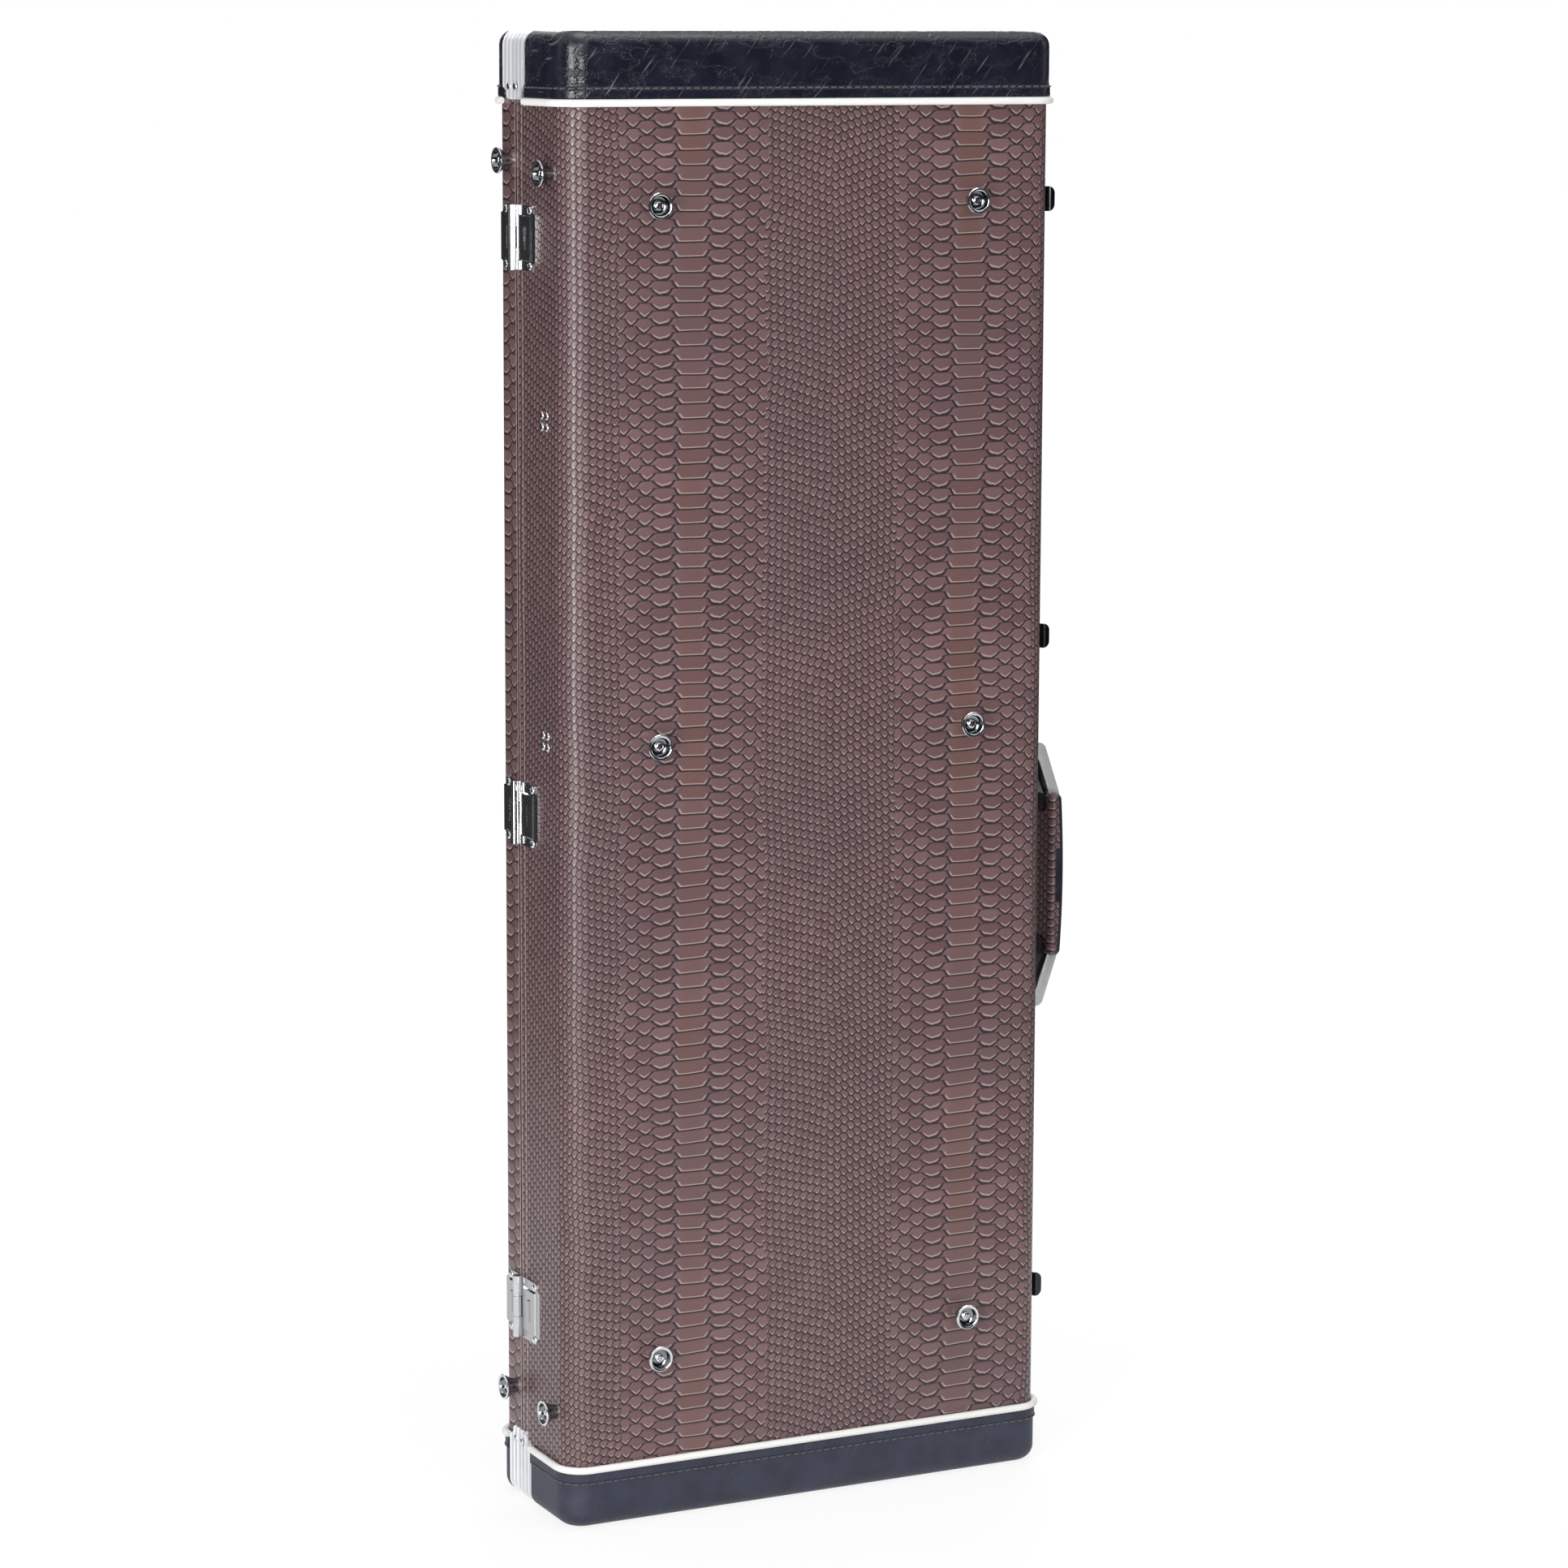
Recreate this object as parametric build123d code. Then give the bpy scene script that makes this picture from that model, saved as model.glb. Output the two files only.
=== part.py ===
from build123d import *
import math
import os

# Electric guitar case, standing on its body end.
# X runs across the case from the hinge wall to the latch wall.
# Y runs from the base's big face (negative) to the lid's big face (positive).
# Z runs up along the case, and zero is the face that it stands on.

# Overall size
case_width = 382.0
case_depth = 118.0
case_length = 1055.0
base_depth = 83.0
seam_gap = 0.6

# Rounding of the box
base_edge_radius = 17.0
lid_edge_radius = 13.0
end_edge_radius = 9.0
smallest_radius = 0.4

# Layers of the wall, from the outside in
covering_thickness = 0.8
board_thickness = 6.2
lining_thickness = 1.5

# Leather end caps
cap_thickness = 2.0
cap_end_top = 2.0
cap_end_bottom = 3.2
cap_height_top = 46.5
cap_height_bottom = 41.0
cap_clearance = 0.02
cap_hem_height = 8.5
cap_hem_rise = 0.9
cap_hem_slope = 0.7

# Piping along the hem of each cap
piping_radius = 2.6
piping_clearance = 0.05

# Fluted metal strips that edge the seam at both ends
strip_width = 19.6
strip_thickness = 1.2
strip_ridge_height = 1.7
strip_ridge_width = 4.2
strip_ridge_count = 3
strip_clearance = 0.2
strip_reach_top = 48.0
strip_reach_bottom = 53.0
strip_taper_length = 12.0
strip_taper_width = 11.0
strip_nail_from_seam = 5.5
strip_nail_from_end = 9.0

# Flared metal feet
foot_height = 11.5
foot_rim_radius = 9.2
foot_rim_width = 0.9
foot_base_radius = 6.2
foot_neck_radius = 4.9
foot_neck_height = 3.0
foot_flare_height = 9.6
foot_dish_depth = 4.2
foot_dish_radius = 4.2
foot_bore_radius = 2.2
foot_screw_radius = 2.1
foot_screw_head_radius = 3.5
foot_screw_head_height = 1.8
big_face_foot_x = 124.0
big_face_foot_rows = (121.0, 561.0, 936.0)
hinge_wall_foot_from_front = 20.5
hinge_wall_foot_rows = (83.0, 958.0)
lid_foot_from_seam = 9.0
lid_foot_rows = (83.0, 965.0)

# Rivets and nails
head_taper = 0.6
rivet_radius = 2.8
rivet_height = 1.3
partition_rivet_spacing = 8.0
partition_rivet_from_front = 36.0

# Hinges
hinge_rows = (145.0, 506.0, 912.0)
hinge_names = ("bottom", "middle", "top")
hinge_height = 45.0
hinge_leaf_thickness = 1.2
hinge_base_leaf_width = 35.0
hinge_lid_leaf_width = 25.0
hinge_knuckle_radius = 3.4
hinge_axis_from_wall = 3.5
hinge_pin_radius = 1.6
hinge_pin_clearance = 0.05
hinge_knuckle_gap = 0.3
hinge_notch_clearance = 0.4
hinge_scoop_radius = 6.0
hinge_panel_rise = 1.1
hinge_panel_slope = 0.9
hinge_panel_inset = 6.5
hinge_panel_from_seam = 6.5
hinge_bead_rise = 0.9
hinge_bead_width = 3.0
hinge_rivet_from_middle = 19.2
hinge_rivet_from_leaf_edge = 9.0

# Draw latches
latch_rows = (128.0, 617.0, 935.0)
latch_names = ("bottom", "middle", "top")
latch_sheet = 1.2
latch_plate_width = 28.0
latch_plate_start = 32.0
latch_plate_end = 80.0
latch_plate_corner = 3.0
latch_ear_radius = 2.4
latch_rivet_inset = 4.0
latch_ear_inner = 6.2
latch_ear_start = 66.0
latch_ear_end = 76.0
latch_pivot_from_front = 71.0
latch_pivot_height = 5.0
latch_pin_radius = 1.5
latch_pin_head_radius = 2.5
latch_pin_head_height = 0.7
latch_pin_clearance = 0.05
latch_lever_half_width = 9.0
latch_lever_wall = 1.2
latch_lever_side_low = 2.2
latch_lever_web_low = 8.0
latch_lever_web_start = 27.0
latch_lever_web_end = 57.8
latch_lever_side_start = 31.0
latch_lever_side_full = 37.6
latch_lever_slope_end = 62.6
latch_lever_end_radius = 3.4
latch_tab_top = 14.2
latch_tab_bend = 2.4
latch_tab_corner = 5.0
latch_claw_pivot_from_front = 61.0
latch_claw_pivot_height = 7.2
latch_claw_pin_radius = 1.2
latch_claw_eye_radius = 2.4
latch_claw_half_width = 5.5
latch_claw_low = 7.0
latch_hook_reach = 90.2
latch_hook_low = 4.7
latch_hook_rib_height = 0.8
latch_hook_rib_width = 3.0
latch_side_clearance = 0.4
latch_head_clearance = 0.1
strike_width = 24.0
strike_start = 84.6
strike_end = 101.0
strike_lip_start = 86.2
strike_lip_top = 3.8
strike_lip_half_width = 7.5
strike_rivet_from_middle = 8.0
strike_rivet_from_end = 4.5

# Carrying handle
handle_middle_z = 435.0
handle_from_front = 50.0
handle_pivot_height = 6.0
handle_pivot_from_middle = 96.0
handle_grip_length = 122.0
handle_grip_outer = 35.0
handle_grip_thickness = 10.0
handle_grip_width = 28.0
handle_grip_round = 4.4
handle_strap_width = 12.6
handle_strap_thickness = 2.4
handle_strap_overlap = 14.0
handle_strap_root = 2.0
handle_strap_gap = 0.1
handle_strap_tip_round = 4.2
handle_eye_radius = 4.4
handle_eye_length = 12.0
handle_pin_radius = 2.0
handle_pin_clearance = 0.05
handle_bracket_sheet = 1.5
handle_bracket_width = 34.0
handle_bracket_length = 26.0
handle_bracket_corner = 4.0
handle_ear_thickness = 2.0
handle_ear_gap = 0.4
handle_ear_radius = 3.0
handle_bracket_rivet_across = 12.5
handle_bracket_rivet_along = 8.0

# Padding and inner walls
floor_pad_thickness = 10.0
floor_pad_round = 3.0
floor_pad_side_gap = 8.5
pad_clearance = 0.5
lid_pad_thickness = 14.0
lid_pad_crown = 3.0
lid_pad_round = 6.0
lid_pad_margin = 6.0
cross_wall_thickness = 9.0
cross_wall_rows = (563.0, 787.0)
cross_wall_names = ("lower", "upper")
cross_wall_top_from_front = 66.0
neck_notch_half_width = 33.0
neck_notch_from_front = 42.0
neck_notch_round = 9.0
cradle_half_width = 58.0
cradle_length = 42.0
cradle_top_from_front = 60.0
cradle_round = 5.0
well_top_from_front = 71.0
well_lower_radius = 156.0
well_lower_z = 178.0
well_upper_radius = 132.0
well_upper_z = 372.0
well_waist_half_width = 118.0
well_top_round = 4.0
well_edge_margin = 1.0

# Places worked out from the sizes above
half_width = case_width / 2
front_y = -case_depth / 2
back_y = case_depth / 2
seam_y = front_y + base_depth
base_rim_y = seam_y - seam_gap / 2
lid_rim_y = seam_y + seam_gap / 2
box_low_z = cap_end_bottom
box_high_z = case_length - cap_end_top
wall_thickness = covering_thickness + board_thickness
inner_thickness = wall_thickness + lining_thickness
hinge_axis_x = -half_width - hinge_axis_from_wall
rise = Axis.Z


def block(x_low, x_high, y_low, y_high, z_low, z_high):
    """Box between six planes."""
    size = (x_high - x_low, y_high - y_low, z_high - z_low)
    middle = ((x_high + x_low) / 2, (y_high + y_low) / 2, (z_high + z_low) / 2)
    return Pos(*middle) * Box(*size)


def save(shape, name):
    """Write one sub-part."""
    export_step(shape, "parts/" + name + ".step")


def group(shapes):
    """Several separate solids as one sub-part."""
    return Compound(children=[solid for shape in shapes for solid in shape.solids()])


def shrunk(radius, offset):
    """Radius of a rounding that lies deeper in the wall."""
    return max(radius - offset, smallest_radius)


def tray(side, depth_in, rim_y, z_low, z_high, end_in=None, round_low=True, round_high=True):
    """Solid tray form: side is 'base' or 'lid', depth_in the offset inward from the covering."""
    half = half_width - depth_in
    if side == "base":
        closed_y = front_y + depth_in
        radius = shrunk(base_edge_radius, depth_in)
    else:
        closed_y = back_y - depth_in
        radius = shrunk(lid_edge_radius, depth_in)
    height = abs(rim_y - closed_y)
    outline = Pos(0, (rim_y + closed_y) / 2) * Rectangle(2 * half, height)
    corners = outline.vertices().sort_by(Axis.Y)
    closed_corners = corners[:2] if side == "base" else corners[-2:]
    outline = fillet(closed_corners, radius)
    body = Pos(0, 0, z_low) * extrude(outline, z_high - z_low)
    end_radius = shrunk(end_edge_radius, depth_in if end_in is None else end_in)
    ends = []
    if round_low:
        ends += list(body.edges().group_by(Axis.Z)[0])
    if round_high:
        ends += list(body.edges().group_by(Axis.Z)[-1])
    ends = [edge for edge in ends if abs(edge.center().Y - rim_y) > smallest_radius]
    return fillet(ends, end_radius) if ends else body


def wall_shapes(side):
    """Covering, board and lining of one half of the case."""
    inward = -1 if side == "base" else 1
    rim_y = base_rim_y if side == "base" else lid_rim_y
    board_rim = rim_y + inward * covering_thickness
    mouth_y = rim_y - inward * case_depth
    outside = tray(side, 0, rim_y, box_low_z, box_high_z)
    board_low = box_low_z + covering_thickness
    board_high = box_high_z - covering_thickness
    board_outside = tray(side, covering_thickness, board_rim, board_low, board_high)
    hollow_low = box_low_z + wall_thickness
    hollow_high = box_high_z - wall_thickness
    hollow = tray(side, wall_thickness, mouth_y, hollow_low, hollow_high)
    lining_low = box_low_z + inner_thickness
    lining_high = box_high_z - inner_thickness
    lining_outside = tray(side, wall_thickness, board_rim, hollow_low, hollow_high)
    lining_hollow = tray(side, inner_thickness, mouth_y, lining_low, lining_high)
    covering = outside - board_outside - hollow
    board = board_outside - hollow
    lining = lining_outside - lining_hollow
    return covering, board, lining


def cap(side, end):
    """Leather cap round one end of one half, stopping at the seam strip."""
    inward = -1 if side == "base" else 1
    rim_y = seam_y + inward * (seam_gap / 2 + strip_width + strip_clearance)
    if end == "top":
        low, high = case_length - cap_height_top, case_length
        skin = tray(side, -cap_thickness, rim_y, low, high, -cap_end_top, False, True)
        hem_low, hem_high = low, low + cap_hem_height
    else:
        low, high = 0, cap_height_bottom
        skin = tray(side, -cap_thickness, rim_y, low, high, -cap_thickness, True, False)
        hem_low, hem_high = high - cap_hem_height, high
    hem_out = -cap_thickness - cap_hem_rise
    hem = tray(side, hem_out, rim_y, hem_low, hem_high, None, False, False)
    levels = hem.edges().group_by(Axis.Z)
    rims = list(levels[0]) + list(levels[-1])
    rims = [edge for edge in rims if abs(edge.center().Y - rim_y) > smallest_radius]
    hem = chamfer(rims, cap_hem_rise * cap_hem_slope)
    box_low = box_low_z - cap_clearance
    box_high = box_high_z + cap_clearance
    return skin + hem - tray(side, -cap_clearance, seam_y, box_low, box_high)


def piping(side, end):
    """Round bead that follows the wall just beyond the hem of a cap."""
    inward = -1 if side == "base" else 1
    reach = piping_radius + piping_clearance
    level = case_length - cap_height_top - reach
    if end == "bottom":
        level = cap_height_bottom + reach
    half = half_width + reach
    closed_y = (front_y - reach) if side == "base" else (back_y + reach)
    bend = (base_edge_radius if side == "base" else lid_edge_radius) + reach
    start_y = seam_y + inward * (seam_gap / 2 + strip_width + strip_clearance)
    corner_y = closed_y - inward * bend
    swing = bend * math.sqrt(0.5)
    middle_y = corner_y + inward * swing
    first = Line((-half, start_y, level), (-half, corner_y, level))
    middle_x = half - bend + swing
    left = ThreePointArc(
        (-half, corner_y, level), (-middle_x, middle_y, level), (-half + bend, closed_y, level)
    )
    across = Line((-half + bend, closed_y, level), (half - bend, closed_y, level))
    right = ThreePointArc(
        (half - bend, closed_y, level), (middle_x, middle_y, level), (half, corner_y, level)
    )
    last = Line((half, corner_y, level), (half, start_y, level))
    path = Wire([first, left, across, right, last])
    section = Plane(origin=path @ 0, z_dir=path % 0) * Circle(piping_radius)
    return sweep(section, path=path)


def strip(side, end):
    """Fluted strip: up one wall, across the end and down the other wall, with tapered ends."""
    inward = -1 if side == "base" else 1
    upward = 1 if end == "top" else -1
    end_z = box_high_z if end == "top" else box_low_z
    reach = strip_reach_top if end == "top" else strip_reach_bottom
    tip_z = (case_length - reach) if end == "top" else reach
    bend = end_edge_radius
    swing = bend * math.sqrt(0.5)
    seam_side_y = seam_y + inward * seam_gap / 2
    bend_z = end_z - upward * bend
    middle_x = half_width - bend + swing
    middle_z = bend_z + upward * swing
    y = seam_side_y
    path = Wire(
        [
            Line((-half_width, y, tip_z), (-half_width, y, bend_z)),
            ThreePointArc(
                (-half_width, y, bend_z), (-middle_x, y, middle_z), (-half_width + bend, y, end_z)
            ),
            Line((-half_width + bend, y, end_z), (half_width - bend, y, end_z)),
            ThreePointArc(
                (half_width - bend, y, end_z), (middle_x, y, middle_z), (half_width, y, bend_z)
            ),
            Line((half_width, y, bend_z), (half_width, y, tip_z)),
        ]
    )
    pitch = strip_width / strip_ridge_count
    edges = [Line((0, strip_thickness), (0, 0)), Line((0, 0), (strip_width, 0))]
    edges.append(Line((strip_width, 0), (strip_width, strip_thickness)))
    reached = strip_width
    for index in reversed(range(strip_ridge_count)):
        middle = pitch * (index + 0.5)
        low = middle - strip_ridge_width / 2
        high = middle + strip_ridge_width / 2
        edges.append(Line((reached, strip_thickness), (high, strip_thickness)))
        crest = (middle, strip_thickness + strip_ridge_height)
        edges.append(Line((high, strip_thickness), crest))
        edges.append(Line(crest, (low, strip_thickness)))
        reached = low
    edges.append(Line((reached, strip_thickness), (0, strip_thickness)))
    outline = make_face(Wire(edges))
    sweep_plane = Plane(origin=path @ 0, x_dir=(0, inward, 0), z_dir=(0, 0, upward))
    if sweep_plane.y_dir.X > 0:
        outline = mirror(outline, about=Plane.XZ)
    body = sweep(sweep_plane * outline, path=path)
    outer_y = seam_side_y + inward * strip_width
    inner_y = outer_y - inward * strip_taper_width
    taper = Polyline(
        (outer_y + inward, tip_z - upward),
        (inner_y, tip_z - upward),
        (inner_y, tip_z),
        (outer_y, tip_z + upward * strip_taper_length),
        (outer_y + inward, tip_z + upward * strip_taper_length),
        close=True,
    )
    wedge = extrude(Plane.YZ * make_face(taper), case_width, both=True)
    return body - wedge


def on_wall(wall, along, z, shape):
    """Place a shape, modelled standing on the XY plane, on a wall of the case."""
    if wall == "big_face":
        return Plane(origin=(along, front_y, z), x_dir=(1, 0, 0), z_dir=(0, -1, 0)) * shape
    if wall == "hinge":
        return Plane(origin=(-half_width, along, z), x_dir=(0, 1, 0), z_dir=(-1, 0, 0)) * shape
    return Plane(origin=(half_width, along, z), x_dir=(0, 1, 0), z_dir=(1, 0, 0)) * shape


def foot():
    """Flared foot with a dished face and a screw bore."""
    dish_floor = foot_height - foot_dish_depth
    outline = Polyline(
        (foot_bore_radius, 0),
        (foot_base_radius, 0),
        (foot_neck_radius, foot_neck_height),
        (foot_rim_radius, foot_flare_height),
        (foot_rim_radius, foot_height),
        (foot_rim_radius - foot_rim_width, foot_height),
        (foot_dish_radius, dish_floor),
        (foot_bore_radius, dish_floor),
        close=True,
    )
    return revolve(Plane.XZ * make_face(outline), Axis.Z)


def foot_screw():
    """Screw with a low head, seated in the dish of a foot."""
    seat = foot_height - foot_dish_depth
    shank = Cylinder(foot_screw_radius, seat, align=(Align.CENTER, Align.CENTER, Align.MIN))
    return shank + Pos(0, 0, seat) * button(foot_screw_head_radius, foot_screw_head_height)


def button(radius, height):
    """Low head with a sloping side."""
    return Cone(radius, radius * head_taper, height, align=(Align.CENTER, Align.CENTER, Align.MIN))


def rivet():
    """Rivet head."""
    return button(rivet_radius, rivet_height)


def rounded_plate(length, width, thickness, corner):
    """Flat plate with rounded corners, lying on the XY plane."""
    return extrude(RectangleRounded(length, width, corner), thickness)


def hinge_leaf(side):
    """Hinge leaf on the XY plane: X runs away from the pin, and Y along it."""
    width = hinge_base_leaf_width if side == "base" else hinge_lid_leaf_width
    near = seam_gap / 2
    sheet = Pos((near + width) / 2, 0) * Rectangle(width - near, hinge_height)
    for end in (-1, 1):
        sheet -= Pos(width, end * hinge_height / 2) * Circle(hinge_scoop_radius)
    body = extrude(sheet, hinge_leaf_thickness)
    panel_length = width - hinge_panel_inset - hinge_panel_from_seam
    panel_width = hinge_height - 2 * hinge_panel_inset
    panel_middle = hinge_panel_from_seam + panel_length / 2
    panel = Pos(panel_middle, 0) * Rectangle(panel_length, panel_width)
    raised = extrude(Pos(0, 0, hinge_leaf_thickness) * panel, hinge_panel_rise)
    raised = chamfer(raised.faces().sort_by(rise)[-1].edges(), hinge_panel_slope)
    bead_top = hinge_leaf_thickness + hinge_panel_rise + hinge_bead_rise
    bead = Pos(panel_middle, 0, bead_top - hinge_bead_rise) * Box(
        hinge_bead_width, panel_width / 2, 2 * hinge_bead_rise
    )
    body += raised + bead
    return body


def knuckle_spans(side):
    """Stretches of the barrel, along the pin, that belong to one leaf."""
    third = hinge_height / 3
    edge = third / 2
    gap = hinge_knuckle_gap / 2
    if side == "lid":
        return [(-edge + gap, edge - gap)]
    half = hinge_height / 2
    return [(-half, -edge - gap), (edge + gap, half)]


def hinge_part(side):
    """Leaf with its knuckles, on the XY plane with the wall at zero."""
    other = "lid" if side == "base" else "base"
    body = hinge_leaf(side)
    notch = hinge_knuckle_radius + hinge_notch_clearance
    for low, high in knuckle_spans(other):
        reach = high - low + hinge_knuckle_gap
        cutter = Pos(0, (low + high) / 2, hinge_axis_from_wall) * (
            Rot(90, 0, 0) * Cylinder(notch, reach)
        )
        body -= cutter
    for low, high in knuckle_spans(side):
        barrel = Pos(0, (low + high) / 2, hinge_axis_from_wall) * (
            Rot(90, 0, 0) * Cylinder(hinge_knuckle_radius, high - low)
        )
        body += barrel
    bore = Pos(0, 0, hinge_axis_from_wall) * (
        Rot(90, 0, 0) * Cylinder(hinge_pin_radius + hinge_pin_clearance, 2 * hinge_height)
    )
    return body - bore


def place_hinge(side, z, shape):
    """Put a leaf on the hinge wall, running away from the seam."""
    direction = -1 if side == "base" else 1
    plane = Plane(origin=(-half_width, seam_y, z), x_dir=(0, direction, 0), z_dir=(-1, 0, 0))
    return plane * shape


def hinge_rivets(side):
    """Two rivets on a leaf, clear of its raised panel."""
    width = hinge_base_leaf_width if side == "base" else hinge_lid_leaf_width
    spot = width - hinge_rivet_from_leaf_edge
    level = hinge_leaf_thickness
    return [Pos(spot, end * hinge_rivet_from_middle, level) * rivet() for end in (-1, 1)]


def latch_frame(z):
    """Plane in which X is the distance from the big face, Y the height off the wall."""
    return Plane(origin=(half_width, front_y, z), x_dir=(0, 1, 0), z_dir=(0, 0, 1))


def prism(outline, z_low, z_high):
    """Outline in the latch plane, extruded along the case between two levels."""
    return Pos(0, 0, z_low) * extrude(outline, z_high - z_low)


def both_sides(outline, inner, thickness):
    """The same outline as two cheeks, one on each side of the middle."""
    return prism(outline, inner, inner + thickness) + prism(outline, -inner - thickness, -inner)


def round_bar(spot, height, radius, half_length):
    """Round bar along the case at a point of the latch plane."""
    return Pos(spot, height) * Cylinder(radius, 2 * half_length)


def flipped(shape):
    """Turn the latch plane so that height grows away from the latch wall."""
    return mirror(shape, about=Plane.XZ)


def latch_plate():
    """Base plate with two ears that carry the lever's pin."""
    length = latch_plate_end - latch_plate_start
    sheet = rounded_plate(length, latch_plate_width, latch_sheet, latch_plate_corner)
    middle = (latch_plate_end + latch_plate_start) / 2
    body = Pos(middle, 0, 0) * (Rot(-90, 0, 0) * sheet)
    ear_middle = (latch_ear_start + latch_ear_end) / 2
    ear_half = (latch_ear_end - latch_ear_start) / 2
    crown = latch_pivot_height
    outline = Pos(ear_middle, crown / 2) * Rectangle(2 * ear_half, crown)
    outline += Pos(latch_pivot_from_front, latch_pivot_height) * Circle(latch_ear_radius)
    body += both_sides(outline, latch_ear_inner, latch_sheet)
    bore = latch_pin_radius + latch_pin_clearance
    return body - round_bar(latch_pivot_from_front, latch_pivot_height, bore, latch_plate_width)


def latch_pivot_pin():
    """Pin through the ears and the lever's cheeks, with a head at each end."""
    face = latch_lever_half_width + latch_head_clearance
    body = round_bar(latch_pivot_from_front, latch_pivot_height, latch_pin_radius, face)
    for end in (-1, 1):
        middle = end * (face + latch_pin_head_height / 2)
        spot = Pos(latch_pivot_from_front, latch_pivot_height, middle)
        body += spot * Cylinder(latch_pin_head_radius, latch_pin_head_height)
    return body


def latch_lever():
    """Lever: folded cheeks, a web on top and a finger tab that stands out at its free end."""
    web_top = latch_lever_web_low + latch_sheet
    cheek = latch_lever_half_width - latch_lever_wall
    side = Polyline(
        (latch_lever_side_start, web_top),
        (latch_lever_side_start, latch_lever_web_low - latch_sheet),
        (latch_lever_side_full, latch_lever_side_low),
        (latch_pivot_from_front, latch_pivot_height - latch_lever_end_radius),
        (latch_pivot_from_front, latch_pivot_height + latch_lever_end_radius),
        (latch_lever_slope_end, web_top),
        close=True,
    )
    outline = make_face(side)
    outline += Pos(latch_pivot_from_front, latch_pivot_height) * Circle(latch_lever_end_radius)
    body = both_sides(outline, cheek, latch_lever_wall)
    start = latch_lever_web_start
    web = Pos((start + latch_lever_web_end) / 2, web_top - latch_sheet / 2) * Rectangle(
        latch_lever_web_end - start, latch_sheet
    )
    body += prism(web, -latch_lever_half_width, latch_lever_half_width)
    bend = latch_tab_bend
    outer = bend + latch_sheet
    centre = (start, latch_lever_web_low + outer)
    swing = math.sqrt(0.5)
    tab_edges = [
        ThreePointArc(
            (start, latch_lever_web_low),
            (start - outer * swing, centre[1] - outer * swing),
            (start - outer, centre[1]),
        ),
        Line((start - outer, centre[1]), (start - outer, latch_tab_top)),
        Line((start - outer, latch_tab_top), (start - bend, latch_tab_top)),
        Line((start - bend, latch_tab_top), (start - bend, centre[1])),
        ThreePointArc(
            (start - bend, centre[1]),
            (start - bend * swing, centre[1] - bend * swing),
            (start, web_top),
        ),
        Line((start, web_top), (start, latch_lever_web_low)),
    ]
    tab = prism(make_face(Wire(tab_edges)), -latch_lever_half_width, latch_lever_half_width)
    tips = tab.faces().sort_by(Axis.Y)[-1].edges().filter_by(Axis.X)
    body += fillet(tips, latch_tab_corner)
    pin_bore = latch_pin_radius + latch_pin_clearance
    body -= round_bar(latch_pivot_from_front, latch_pivot_height, pin_bore, latch_plate_width)
    claw_bore = latch_claw_pin_radius + latch_pin_clearance
    spot = latch_claw_pivot_from_front
    return body - round_bar(spot, latch_claw_pivot_height, claw_bore, latch_plate_width)


def latch_claw_pin():
    """Pin on which the claw swings in the lever."""
    spot = latch_claw_pivot_from_front
    face = latch_lever_half_width + latch_head_clearance
    return round_bar(spot, latch_claw_pivot_height, latch_claw_pin_radius, face)


def latch_claw():
    """Claw: an eye round its pin, a ribbed strap over the seam and a hook above the strike."""
    eye = (latch_claw_pivot_from_front, latch_claw_pivot_height)
    low = latch_claw_low
    high = latch_claw_low + latch_sheet
    strap = Polyline(
        (eye[0], low),
        (latch_hook_reach - latch_sheet, low),
        (latch_hook_reach - latch_sheet, latch_hook_low),
        (latch_hook_reach, latch_hook_low),
        (latch_hook_reach, high),
        (eye[0], high),
        close=True,
    )
    outline = make_face(strap) + Pos(*eye) * Circle(latch_claw_eye_radius)
    body = prism(outline, -latch_claw_half_width, latch_claw_half_width)
    rib_start = eye[0] + 2 * latch_claw_eye_radius
    rib = Pos((rib_start + latch_hook_reach - latch_sheet) / 2, high, 0) * Box(
        latch_hook_reach - latch_sheet - rib_start, 2 * latch_hook_rib_height, latch_hook_rib_width
    )
    body += rib
    bore = latch_claw_pin_radius + latch_pin_clearance
    return body - round_bar(eye[0], eye[1], bore, latch_plate_width)


def latch_strike():
    """Strike plate on the lid with an upturned lip under the hook."""
    length = strike_end - strike_start
    sheet = rounded_plate(length, strike_width, latch_sheet, latch_plate_corner)
    body = Pos((strike_end + strike_start) / 2, 0, 0) * (Rot(-90, 0, 0) * sheet)
    lip_middle = strike_lip_start + latch_sheet / 2
    lip = Pos(lip_middle, strike_lip_top / 2) * Rectangle(latch_sheet, strike_lip_top)
    return body + prism(lip, -strike_lip_half_width, strike_lip_half_width)


def in_latch(z, shape):
    """Put a latch piece, modelled with height up, on the latch wall."""
    return latch_frame(z) * flipped(shape)


def latch_wall_rivet(from_front, z, height):
    """Rivet head on a plate of the latch wall."""
    return on_wall("latch", front_y + from_front, z, Pos(0, 0, height) * rivet())


def handle_frame(middle_z):
    """Plane in which X is the height off the latch wall and Y runs along the case."""
    origin = (half_width, front_y + handle_from_front, middle_z)
    return Plane(origin=origin, x_dir=(1, 0, 0), z_dir=(0, -1, 0))


def handle_grip():
    """Padded grip with rounded edges and slightly drawn-in ends."""
    inner = handle_grip_outer - handle_grip_thickness
    half = handle_grip_length / 2
    bar = block(
        half_width + inner,
        half_width + handle_grip_outer,
        front_y + handle_from_front - handle_grip_width / 2,
        front_y + handle_from_front + handle_grip_width / 2,
        handle_middle_z - half,
        handle_middle_z + half,
    )
    return fillet(bar.edges(), handle_grip_round)


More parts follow.
